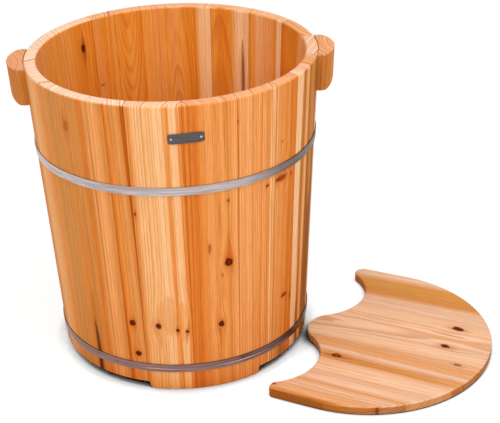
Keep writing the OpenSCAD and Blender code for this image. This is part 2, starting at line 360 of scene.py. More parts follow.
class BoardPlace(Group):
    """Where a point lies on a flat board.

    The point is moved to the board's middle line and turned so that the grain lies along +X. What is left
    in Y is the way across, and the way down from the top face is the depth.
    """

    name = "Place on a flat board"
    takes = {
        "Point": Kind.VECTOR,
        "Middle": Kind.VECTOR,
        "Turn": Kind.NUMBER,
        "Across": Kind.NUMBER,
        "Half Width": Kind.NUMBER,
    }
    gives = {"Board": Kind.VECTOR, "Share": Kind.NUMBER, "Edge": Kind.NUMBER}

    def wire(self, bench: Bench, given: Sockets) -> Sockets:
        """Turns the point with the grain and measures it there.

        Args:
            bench: The bench of the group's tree.
            given: The group's inputs by name.

        Returns:
            The place on the board, the share of the width and the way to the nearer seam.
        """
        off = bench.off(given["Point"], given["Middle"])
        feeds = {"Vector": off, "Angle": bench.times(given["Turn"], -1.0)}
        x, y, z = bench.split(bench.put("ShaderNodeVectorRotate", feeds, rotation_type="Z_AXIS").outputs[0])
        across = bench.minus(bench.times(y, MM), given["Across"])
        share = bench.times_plus(bench.over(across, given["Half Width"]), 0.5, 0.5)
        edge = bench.minus(given["Half Width"], bench.math("ABSOLUTE", across))
        board = bench.join(across, bench.times(z, -MM), bench.times(x, MM))
        return {"Board": board, "Share": share, "Edge": edge}


class KnotGroup(Group):
    """A knot, and the grain that flows round it.

    The distance is that of an oval with a wavering outline. The grain near it is read closer to the knot's
    own line, so that the rings part above it and meet again below it.
    """

    name = "Knot"
    takes = {
        "Board": Kind.VECTOR,
        "Across": Kind.NUMBER,
        "Height": Kind.NUMBER,
        "Half Width": Kind.NUMBER,
        "Half Length": Kind.NUMBER,
    }
    gives = {"Board": Kind.VECTOR, "Core": Kind.NUMBER, "Rind": Kind.NUMBER, "Halo": Kind.NUMBER}
    cells: Triple = (0.9, 1.0, 0.9)
    waver = (1.1, 0.5)
    core_step = (0.35, 1.25)
    rind_steps = (0.2, 0.8, 1.4)
    bent_oval = (2.3, 4.2)
    halo_oval = (1.4, 2.2)
    pull = -0.86

    def wire(self, bench: Bench, given: Sockets) -> Sockets:
        """Measures how far out a point is from the knot.

        Args:
            bench: The bench of the group's tree.
            given: The group's inputs by name.

        Returns:
            The place on the board with its bent grain, and the masks of the knot's core, rind and halo.
        """
        across, depth, height = bench.split(given["Board"])
        dx = bench.minus(across, given["Across"])
        px = bench.over(dx, given["Half Width"])
        pz = bench.over(bench.minus(height, given["Height"]), given["Half Length"])

        def oval(wide: float, long: float) -> Socket:
            """How far out a point is, squared, on an oval that is stretched by two numbers.

            Args:
                wide: How much wider than the knot the oval is.
                long: How much longer.

            Returns:
                The squared distance, which is 1 on the oval.
            """
            x = bench.over(px, wide)
            z = bench.over(pz, long)
            return bench.times_plus(x, x, bench.times(z, z))

        waver = bench.noise(bench.scaled(bench.join(px, 0.0, pz), self.cells, given["Height"]), 2.0)
        out = bench.times(bench.math("SQRT", oval(1.0, 1.0)), bench.times_plus(waver, *self.waver))
        pull = bench.times(bench.times(dx, bench.bell(oval(*self.bent_oval))), self.pull)
        inside, on, outside = self.rind_steps
        return {
            "Board": bench.join(bench.plus(across, pull), depth, height),
            "Core": bench.step(out, *self.core_step, 1.0, 0.0),
            "Rind": bench.times(bench.step(out, inside, on), bench.step(out, on, outside, 1.0, 0.0)),
            "Halo": bench.bell(oval(*self.halo_oval)),
        }


class StreakGroup(Group):
    """A long streak with the grain: widest in the middle of its length and drawn out to both ends."""

    name = "Streak"
    takes = {
        "Board": Kind.VECTOR,
        "Across": Kind.NUMBER,
        "Low": Kind.NUMBER,
        "High": Kind.NUMBER,
        "Half Width": Kind.NUMBER,
    }
    gives = {"Mask": Kind.NUMBER}
    cells: Triple = (0.05, 0.05, 0.02)
    taper_step = (0.0, 0.4)
    least_width = 0.01

    def wire(self, bench: Bench, given: Sockets) -> Sockets:
        """Draws the streak as a bell curve across, with its width tapered along its length.

        Args:
            bench: The bench of the group's tree.
            given: The group's inputs by name.

        Returns:
            The streak's mask.
        """
        across, _, height = bench.split(given["Board"])
        middle = bench.times(bench.plus(given["Low"], given["High"]), 0.5)
        half = bench.times(bench.minus(given["High"], given["Low"]), 0.5)
        pz = bench.over(bench.minus(height, middle), half)
        taper = bench.math("MAXIMUM", bench.minus(1.0, bench.times(pz, pz)), 0.0)
        waver = bench.noise(bench.scaled(given["Board"], self.cells, given["Low"]), 1.0)
        dx = bench.minus(across, given["Across"])
        dx = bench.plus(dx, bench.times(bench.minus(waver, 0.5), given["Half Width"]))
        px = bench.over(dx, bench.math("MAXIMUM", bench.times(taper, given["Half Width"]), self.least_width))
        return {"Mask": bench.times(bench.bell(bench.times(px, px)), bench.step(taper, *self.taper_step))}


class GrowthRings(Group):
    """The tree's growth rings, cut by the board's faces.

    The ring number is the distance from the tree's leaning heart line, plus slow and fine noise, over the
    spacing. Each ring darkens slowly and ends sharply. Faces along the heart show flames, faces across it
    show lines, and the board's ends show arcs.
    """

    name = "Growth rings"
    takes = {
        "Board": Kind.VECTOR,
        "Heart Across": Kind.NUMBER,
        "Heart Depth": Kind.NUMBER,
        "Lean Across": Kind.NUMBER,
        "Lean Depth": Kind.NUMBER,
        "Spacing": Kind.NUMBER,
        "Wave": Kind.NUMBER,
        "Seed": Kind.NUMBER,
    }
    gives = {name: Kind.NUMBER for name in ("Ring", "Band", "Fibre", "Drift", "Sway")}
    slow_cells: Triple = (0.016, 0.016, 0.0034)
    fine_cells: Triple = (0.12, 0.12, 0.012)
    fibre_cells: Triple = (1.1, 1.1, 0.035)
    drift_cells: Triple = (0.02, 0.02, 0.006)
    fibre_detail = (3.0, 0.65)
    fine_share = 0.1
    uneven_cells = 0.23
    uneven_rings = 3.4
    late_step = (0.32, 0.88)
    early_step = (0.88, 1.0)
    darkness = (0.6, 0.4)
    band_cells = 0.3
    band_seed = 7.0
    drift_seed = 3.0

    def wire(self, bench: Bench, given: Sockets) -> Sockets:
        """Numbers the rings and lays bands, fibres and slow drift along them.

        Args:
            bench: The bench of the group's tree.
            given: The group's inputs by name.

        Returns:
            The rings' late wood, the wide bands, the fibres, the slow drift and the sway of the grain.
        """
        board, seed = given["Board"], given["Seed"]
        across, depth, height = bench.split(board)
        x = bench.minus(across, bench.times_plus(height, given["Lean Across"], given["Heart Across"]))
        y = bench.plus(depth, bench.times_plus(height, given["Lean Depth"], given["Heart Depth"]))
        out = bench.math("SQRT", bench.times_plus(x, x, bench.times(y, y)))
        slow = bench.minus(bench.noise(bench.scaled(board, self.slow_cells, seed), 1.0), 0.5)
        fine = bench.minus(bench.noise(bench.scaled(board, self.fine_cells, seed), 2.0), 0.5)
        out = bench.times_plus(bench.times_plus(fine, self.fine_share, slow), given["Wave"], out)
        number = bench.over(out, given["Spacing"])
        uneven = bench.line_noise(bench.times_plus(number, self.uneven_cells, seed), 1.0)
        number = bench.times_plus(uneven, self.uneven_rings, number)
        part = bench.math("FRACT", number)
        whole = bench.plus(bench.math("FLOOR", number), seed)
        chance = bench.put("ShaderNodeTexWhiteNoise", {"W": whole}, noise_dimensions="1D").outputs[0]
        ring = bench.times(bench.step(part, *self.late_step), bench.step(part, *self.early_step, 1.0, 0.0))
        band = bench.times_plus(number, self.band_cells, bench.plus(seed, self.band_seed))
        drift = bench.scaled(board, self.drift_cells, bench.plus(seed, self.drift_seed))
        return {
            "Ring": bench.times(ring, bench.times_plus(chance, *self.darkness)),
            "Band": bench.line_noise(band, 2.0),
            "Fibre": bench.noise(bench.scaled(board, self.fibre_cells, seed), *self.fibre_detail),
            "Drift": bench.noise(drift, 2.0),
            "Sway": slow,
        }


class WoodTones(Group):
    """Lays rings, bands, fibres and slow drift over a board's own tone.

    Late wood is the tone with less green and much less blue in it, which reads as a deeper orange.
    """

    name = "Wood tones"
    takes = {
        "Tone": Kind.COLOUR,
        "Ring": Kind.NUMBER,
        "Band": Kind.NUMBER,
        "Fibre": Kind.NUMBER,
        "Drift": Kind.NUMBER,
        "Contrast": Kind.NUMBER,
        "End": Kind.NUMBER,
        "End Tone": Kind.COLOUR,
    }
    gives = {"Color": Kind.COLOUR}
    deep_step = (0.42, 0.7)
    deep_share = 0.45
    pale_step = (0.46, 0.25)
    pale_share = 0.7
    fibre_step = (0.3, 0.72)
    fibre_light = (0.86, 1.08)
    drift_step = (0.3, 0.7)
    drift_share = 0.5
    end_share = 0.78

    def wire(self, bench: Bench, given: Sockets) -> Sockets:
        """Stains the tone step by step, and mixes it with the end grain's tone.

        Args:
            bench: The bench of the group's tree.
            given: The group's inputs by name.

        Returns:
            The wood's colour.
        """
        contrast = given["Contrast"]
        colour = bench.stain(bench.times(given["Ring"], contrast), given["Tone"], Stain.LATE_WOOD)
        deep = bench.times(bench.step(given["Band"], *self.deep_step), contrast)
        colour = bench.stain(bench.times(deep, self.deep_share), colour, Stain.DEEP_BAND)
        pale = bench.times(bench.step(given["Band"], *self.pale_step), contrast)
        colour = bench.stain(bench.times(pale, self.pale_share), colour, Stain.LIGHT_BAND)
        colour = bench.shade(colour, bench.step(given["Fibre"], *self.fibre_step, *self.fibre_light))
        drift = bench.times(bench.step(given["Drift"], *self.drift_step), self.drift_share)
        colour = bench.stain(drift, colour, Stain.DRIFT)
        arcs = bench.stain(given["Ring"], bench.mix(self.end_share, colour, given["End Tone"]), Stain.END_ARC)
        return {"Color": bench.mix(given["End"], colour, arcs)}


class BrushedSteel(Group):
    """Fine lines round a hoop, a slow change of brightness, small smudges and a painted dark stretch.

    The noise is stretched along the hoop: one blob is less than a millimetre high and many long. The
    share runs once round the tub from the back, and the steel is painted darker and browner at the
    tub's right side, as a painted dark reflection.
    """

    name = "Brushed steel"
    takes = {
        "Board": Kind.VECTOR,
        "Share": Kind.NUMBER,
        "Metal": Kind.COLOUR,
        "Painted Dark Side": Kind.NUMBER,
        "Seed": Kind.NUMBER,
    }
    gives = {"Color": Kind.COLOUR, "Roughness": Kind.NUMBER, "Height": Kind.NUMBER}
    line_cells: Triple = (0.03, 1.0, 2.6)
    wide_cells: Triple = (0.009, 0.05, 0.4)
    smudge_cells: Triple = (0.05, 0.1, 0.09)
    line_detail = (3.0, 0.7)
    line_step = (0.32, 0.68)
    line_light = (0.55, 1.2)
    wide_step = (0.3, 0.7)
    wide_light = (0.78, 1.1)
    # Where round the tub the painted dark reflection starts and fades, how dark it is, and how much rougher
    dark_side_from = (0.55, 0.65)
    dark_side_to = (0.75, 0.88)
    dark_side_share = 0.85
    roughness = 0.2
    smudge_roughness = 0.2
    dark_side_roughness = 0.1

    def wire(self, bench: Bench, given: Sockets) -> Sockets:
        """Shades the steel by its lines, and paints it darker and browner on the tub's right side as a
        painted dark reflection.

        Args:
            bench: The bench of the group's tree.
            given: The group's inputs by name.

        Returns:
            The steel's colour and roughness, and the height of its lines.
        """
        board, seed = given["Board"], given["Seed"]
        lines = bench.noise(bench.scaled(board, self.line_cells, seed), *self.line_detail)
        wide = bench.noise(bench.scaled(board, self.wide_cells, seed), 2.0)
        smudge = bench.noise(bench.scaled(board, self.smudge_cells, seed), 3.0)
        light = bench.step(lines, *self.line_step, *self.line_light)
        light = bench.times(light, bench.step(wide, *self.wide_step, *self.wide_light))
        # Painted dark reflection: the steel on the tub's right side is stained darker and browner
        fades = bench.step(given["Share"], *self.dark_side_to, self.dark_side_share, 0.0)
        dark_side = bench.times(bench.step(given["Share"], *self.dark_side_from), fades)
        dark_side = bench.times(dark_side, given["Painted Dark Side"])
        rough = bench.times_plus(dark_side, self.dark_side_roughness, self.roughness)
        rough = bench.times_plus(smudge, self.smudge_roughness, rough)
        colour = bench.stain(dark_side, bench.shade(given["Metal"], light), Stain.PAINTED_DARK_SIDE)
        return {"Color": colour, "Roughness": rough, "Height": lines}


@dataclass(frozen=True)
class Knot:
    """A knot. Its place across is an angle on a stave and millimetres on a flat board."""

    across: float
    height: float
    width: float
    length: float
    heart: Tone = T.RUSSET
    strength: float = 1.0
    rind: float = 0.8


@dataclass(frozen=True)
class Streak:
    """A long streak of another tone, placed like a knot."""

    across: float
    low: float
    high: float
    width: float
    tone: Tone
    strength: float


@dataclass(frozen=True)
class Grain:
    """How a board was cut from its tree, in millimetres.

    The heart line passes at a way across and a depth, and leans by so much for each millimetre of height.
    """

    heart_across: float
    heart_depth: float
    lean_across: float = 0.0
    lean_depth: float = 0.0
    spacing: float = 3.2
    wave: float = 9.0
    contrast: float = 0.6


@dataclass(frozen=True)
class BoardLook:
    """What one board looks like: its tones across, its grain, its knots and its streaks."""

    tones: tuple[tuple[float, Tone], ...]
    grain: Grain
    knots: tuple[Knot, ...] = ()
    streaks: tuple[Streak, ...] = ()
    seam: float = 0.3
    end: Tone = T.END


@dataclass
class Workshop:
    """The shared groups, made once."""

    stave_place: StavePlace = field(default_factory=StavePlace)
    board_place: BoardPlace = field(default_factory=BoardPlace)
    knot: KnotGroup = field(default_factory=KnotGroup)
    streak: StreakGroup = field(default_factory=StreakGroup)
    rings: GrowthRings = field(default_factory=GrowthRings)
    tones: WoodTones = field(default_factory=WoodTones)
    steel: BrushedSteel = field(default_factory=BrushedSteel)


def new_material(name: str) -> tuple[bpy.types.Material, Bench, bpy.types.Node]:
    """Makes a material with an empty Principled shader.

    Args:
        name: The material's name.

    Returns:
        The material, the bench of its tree and its shader.
    """
    material = bpy.data.materials.new(name)
    material.use_nodes = True
    material.node_tree.nodes.clear()
    bench = Bench(material.node_tree)
    shader = bench.put("ShaderNodeBsdfPrincipled")
    bench.put("ShaderNodeOutputMaterial", {"Surface": shader.outputs[0]})
    return material, bench, shader


def dress(obj: bpy.types.Object, material: bpy.types.Material) -> None:
    """Gives all of an object's faces one material, in the slots that it has.

    Args:
        obj: The object.
        material: Its new material.
    """
    if not obj.material_slots:
        obj.data.materials.append(material)
    for material_slot in obj.material_slots:
        material_slot.material = material


@dataclass(frozen=True)
class Across:
    """Turns a look's places across into millimetres from the board's middle, and into shares of its width.

    A stave's places are angles, and its radii are metres at the foot and millimetres halfway up. The tones
    wander with the grain by so many millimetres.
    """

    start: float
    end: float
    foot_radius: float = 0.0
    slope: float = 0.0
    half_way_radius: float = 170.0
    wander: float = 7.0

    @property
    def sway(self) -> float:
        """How far the tones wander with the grain, as a share of the width."""
        width = self.end - self.start
        return self.wander / (math.radians(width) * self.half_way_radius if self.foot_radius else width)

    def share(self, place: float) -> float:
        """The share of the width at a place, from 0 to 1."""
        return (place - self.start) / (self.end - self.start)

    def millimetres(self, place: float, height: float) -> float:
        """The way across from the board's middle.

        Args:
            place: An angle on a stave, or millimetres on a flat board.
            height: The height of the place, in millimetres.

        Returns:
            Millimetres from the middle.
        """
        off = place - (self.start + self.end) / 2
        if not self.foot_radius:
            return off
        return math.radians(off) * (self.foot_radius * MM + self.slope * height)


@dataclass(frozen=True)
class Site:
    """Where a board's points lie.

    The group says where a point lies on the board, from its feeds. The seed is a number of the board's
    own. The rim is the height of a stave's top face, in millimetres, where end grain shows. A flat board
    has 0, and shows it on its edge.
    """

    group: bpy.types.NodeTree
    feeds: Feeds
    across: Across
    seed: float
    rim: float = 0.0


@dataclass(frozen=True)
class WoodFinish:
    """Clear-varnished softwood. Seams, grooves, roundings and the heights where the wood darkens towards the
    bottom are millimetres.
    """

    roughness: float = 0.48
    ring_gloss: float = -0.08
    fibre_gloss: float = 0.1
    specular: float = 0.01
    bump: float = 0.25
    relief: float = 0.0006
    ring_lift: float = -0.08
    fibre_lift: float = 0.12
    groove_width: float = 0.7
    groove_depth: float = 0.5
    seam_width: tuple[float, float] = (1.1, 0.25)
    seam_core: float = 0.25
    halo_share: float = 0.8
    core_share: float = 0.95
    rim_round: tuple[float, float] = (2.6, 0.4)
    edge_round: tuple[float, float] = (0.9, 1.9)
    edge_foot: tuple[float, float] = (10.2, 11.2)
    # The foot is darker by a stain with painted contact shade near the floor, and the lower wall darkens
    # towards the bottom
    foot_stain_and_shade: tuple[float, float, float] = (4.0, 32.0, 0.5)
    lower_wall_darkening: tuple[float, float, float] = (20.0, 190.0, 0.34)

    def lay_knots(
        self, bench: Bench, look: BoardLook, shop: Workshop, board: Socket, across: Across
    ) -> tuple[Socket, list[tuple[Knot, Sockets]]]:
        """Chains the knots: each one bends the grain that the next one gets.

        Args:
            bench: The bench of the material's tree.
            look: The board's look.
            shop: The shared groups.
            board: Where a point lies on the board.
            across: Turns the look's places across into millimetres.

        Returns:
            The place on the board with its bent grain, and each knot with its masks.
        """
        knots = []
        for knot in look.knots:
            feeds = {
                "Board": board,
                "Across": across.millimetres(knot.across, knot.height),
                "Height": knot.height,
                "Half Width": knot.width / 2,
                "Half Length": knot.length / 2,
            }
            masks = bench.place(shop.knot.tree, feeds)
            board = masks["Board"]
            knots.append((knot, masks))
        return board, knots

    def lay_rings(self, bench: Bench, grain: Grain, shop: Workshop, board: Socket, seed: float) -> Sockets:
        """Lays the growth rings.

        Args:
            bench: The bench of the material's tree.
            grain: How the board was cut from its tree.
            shop: The shared groups.
            board: Where a point lies on the board, with its bent grain.
            seed: A number of the board's own.

        Returns:
            The rings' outputs by name.
        """
        feeds = {
            "Board": board,
            "Heart Across": grain.heart_across,
            "Heart Depth": grain.heart_depth,
            "Lean Across": grain.lean_across,
            "Lean Depth": grain.lean_depth,
            "Spacing": grain.spacing,
            "Wave": grain.wave,
            "Seed": seed,
        }
        return bench.place(shop.rings.tree, feeds)

    def lay_tones(self, bench: Bench, look: BoardLook, spot: Sockets, sway: Socket, site: Site) -> Socket:
        """Lays the board's tones side by side, which sway and lean with the grain.

        Args:
            bench: The bench of the material's tree.
            look: The board's look.
            spot: Where a point lies on the board.
            sway: The sway of the grain.
            site: The board's site.

        Returns:
            The board's own tone.
        """
        across = site.across
        height = bench.split(spot["Board"])[2]
        slant = -look.grain.lean_across * across.sway / across.wander
        share = bench.times_plus(sway, across.sway, spot["Share"])
        share = bench.times_plus(bench.minus(height, site.rim / 2), slant, share)
        return bench.ramp(share, [(across.share(place), tone.linear) for place, tone in look.tones])

    def find_ends(self, bench: Bench, board: Socket, rim: float) -> tuple[Feed, Feed]:
        """Finds where end grain shows, and how much darker the wood is towards the bottom, as a stain with
        painted contact shade near the floor.

        Args:
            bench: The bench of the material's tree.
            board: Where a point lies on the board.
            rim: Height of a stave's top face, or 0 for a flat board.

        Returns:
            How much end grain shows, and how much darker the wood is towards the bottom.
        """
        _, depth, height = bench.split(board)
        if not rim:
            under = bench.step(depth, *self.edge_foot, 1.0, 0.0)
            return bench.times(bench.step(depth, *self.edge_round), under), 0.0
        # Darker towards the bottom: at the foot a stain with painted contact shade, and up the lower wall a
        # plain darkening
        foot_low, foot_high, foot_share = self.foot_stain_and_shade
        wall_low, wall_high, wall_share = self.lower_wall_darkening
        foot = bench.step(height, foot_low, foot_high, foot_share, 0.0)
        wall = bench.step(height, wall_low, wall_high, wall_share, 0.0)
        return bench.step(height, rim - self.rim_round[0], rim - self.rim_round[1]), bench.plus(foot, wall)

    def lay_streaks(
        self, bench: Bench, look: BoardLook, shop: Workshop, board: Socket, across: Across, colour: Socket
    ) -> Socket:
        """Lays the streaks over the wood.

        Args:
            bench: The bench of the material's tree.
            look: The board's look.
            shop: The shared groups.
            board: Where a point lies on the board, with its bent grain.
            across: Turns the look's places across into millimetres.
            colour: The wood's colour.

        Returns:
            The colour with its streaks.
        """
        for streak in look.streaks:
            feeds = {
                "Board": board,
                "Across": across.millimetres(streak.across, (streak.low + streak.high) / 2),
                "Low": streak.low,
                "High": streak.high,
                "Half Width": streak.width / 2,
            }
            mask = bench.place(shop.streak.tree, feeds)["Mask"]
            colour = bench.mix(bench.times(mask, streak.strength), colour, streak.tone.linear)
        return colour

    def colour_knots(self, bench: Bench, knots: list[tuple[Knot, Sockets]], colour: Socket) -> Socket:
        """Colours each knot: a warm halo, the heart and a dark rind.

        Args:
            bench: The bench of the material's tree.
            knots: Each knot with its masks.
            colour: The wood's colour.

        Returns:
            The colour with its knots.
        """
        for knot, masks in knots:
            halo = bench.times(masks["Halo"], self.halo_share * knot.strength)
            colour = bench.stain(halo, colour, Stain.KNOT_HALO)
            core = bench.times(masks["Core"], self.core_share * knot.strength)
            colour = bench.mix(core, colour, knot.heart.linear)
            rind = bench.times(masks["Rind"], knot.rind * knot.strength)
            colour = bench.mix(rind, colour, T.UMBER.linear)
        return colour

    def give_surface(self, bench: Bench, shader: bpy.types.Node, rings: Sockets, edge: Socket) -> None:
        """Gives the varnish its gloss and the wood its relief, with a fine groove along each seam.

        Args:
            bench: The bench of the material's tree.
            shader: The material's shader.
            rings: The rings' outputs by name.
            edge: The way to the nearer seam.
        """
        gloss = bench.times_plus(rings["Ring"], self.ring_gloss, self.roughness)
        bench.feed(shader.inputs["Roughness"], bench.times_plus(rings["Fibre"], self.fibre_gloss, gloss))
        shader.inputs["Specular IOR Level"].default_value = self.specular
        lift = bench.times(bench.step(edge, 0.0, self.groove_width), self.groove_depth)
        lift = bench.times_plus(rings["Fibre"], self.fibre_lift, lift)
        lift = bench.times_plus(rings["Ring"], self.ring_lift, lift)
        feeds = {"Strength": self.bump, "Distance": self.relief, "Height": lift}
        bench.feed(shader.inputs["Normal"], bench.put("ShaderNodeBump", feeds).outputs[0])

    def material(self, name: str, look: BoardLook, shop: Workshop, site: Site) -> bpy.types.Material:
        """Makes the material of one board.

        Args:
            name: The material's name.
            look: The board's look.
            shop: The shared groups.
            site: The board's site.

        Returns:
            The material.
        """
        material, bench, shader = new_material(name)
        point = bench.put("ShaderNodeTexCoord").outputs["Object"]
        spot = bench.place(site.group, {"Point": point, **site.feeds})
        board, knots = self.lay_knots(bench, look, shop, spot["Board"], site.across)
        rings = self.lay_rings(bench, look.grain, shop, board, site.seed)
        tone = self.lay_tones(bench, look, spot, rings["Sway"], site)
        end, low_stain_and_shade = self.find_ends(bench, spot["Board"], site.rim)
        feeds = {part: rings[part] for part in ("Ring", "Band", "Fibre", "Drift")}
        feeds |= {"Tone": tone, "Contrast": look.grain.contrast, "End": end, "End Tone": look.end.linear}
        # Darker towards the bottom: a stain with painted contact shade near the floor
        colour = bench.stain(low_stain_and_shade, bench.place(shop.tones.tree, feeds)["Color"], Stain.LOW_STAIN_AND_SHADE)
        colour = self.lay_streaks(bench, look, shop, board, site.across, colour)
        colour = self.colour_knots(bench, knots, colour)
        reach = bench.times_plus(rings["Fibre"], *self.seam_width)
        seam = bench.step(spot["Edge"], bench.times(reach, self.seam_core), reach, look.seam, 0.0)
        bench.feed(shader.inputs["Base Color"], bench.stain(seam, colour, Stain.SEAM))
        self.give_surface(bench, shader, rings, spot["Edge"])
        return material


@dataclass(frozen=True)
class TubShape:
    """The tub's axis and the cone of its outer face, in metres."""

    axis: tuple[float, float]
    foot_radius: float = 0.164
    rim_radius: float = 0.185
    height: float = 0.4

    @property
    def slope(self) -> float:
        """How much the radius grows for each metre of height."""
        return (self.rim_radius - self.foot_radius) / self.height

    def feeds(self, middle: float, half_angle: float) -> Feeds:
        """The inputs of the group that places a point on a stave.

        Args:
            middle: Direction of the stave's middle, in radians.
            half_angle: Half of the angle that it takes up.

        Returns:
            The inputs by name.
        """
        return {
            "Axis": (*self.axis, 0.0),
            "Middle": middle,
            "Half Angle": half_angle,
            "Foot Radius": self.foot_radius,
            "Slope": self.slope,
        }

    @classmethod
    def of_frame(cls) -> "TubShape":
        """Reads the axis off the round floor, whose box is centred on it.

        Returns:
            The tub's shape.
        """
        corners = [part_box(f"floor_board_{i}") for i in range(1, 6)]
        low = np.min([c[0] for c in corners], axis=0)
        high = np.max([c[1] for c in corners], axis=0)
        return cls(axis=(float(low[0] + high[0]) / 2, float(low[1] + high[1]) / 2))


@dataclass(frozen=True)
class SteelFinish:
    """Brushed sheet steel."""

    metal: Tone
    # How strongly the steel is painted darker and browner on the tub's right side, as a painted dark
    # reflection
    painted_dark_side: float = 1.0
    bump: float = 0.12
    relief: float = 0.0003

    def material(self, name: str, shop: Workshop, tub: TubShape, seed: float) -> bpy.types.Material:
        """Makes the steel of one hoop.

        Args:
            name: The material's name.
            shop: The shared groups.
            tub: The shape of the tub that the hoop goes round.
            seed: A number of the hoop's own.

        Returns:
            The material.
        """
        material, bench, shader = new_material(name)
        point = bench.put("ShaderNodeTexCoord").outputs["Object"]
        spot = bench.place(shop.stave_place.tree, {"Point": point, **tub.feeds(-math.pi / 2, math.pi)})
        feeds = {part: spot[part] for part in ("Board", "Share")}
        feeds |= {"Metal": self.metal.linear, "Painted Dark Side": self.painted_dark_side, "Seed": seed}
        steel = bench.place(shop.steel.tree, feeds)
        bench.feed(shader.inputs["Base Color"], steel["Color"])
        bench.feed(shader.inputs["Roughness"], steel["Roughness"])
        shader.inputs["Metallic"].default_value = 1.0
        feeds = {"Strength": self.bump, "Distance": self.relief, "Height": steel["Height"]}
        bench.feed(shader.inputs["Normal"], bench.put("ShaderNodeBump", feeds).outputs[0])
        return material


# Where the staves' seams lie round the axis, in degrees from +X
SEAMS = (
    -124.0, -116.6, -108.7, -87.6, -67.0, -49.0, -36.6, -14.3, 8.1, 29.7, 50.4, 70.6, 78.3, 91.9, 103.1,
    115.9, 128.0, 146.0, 167.1, 190.0, 212.0, 236.0,
)

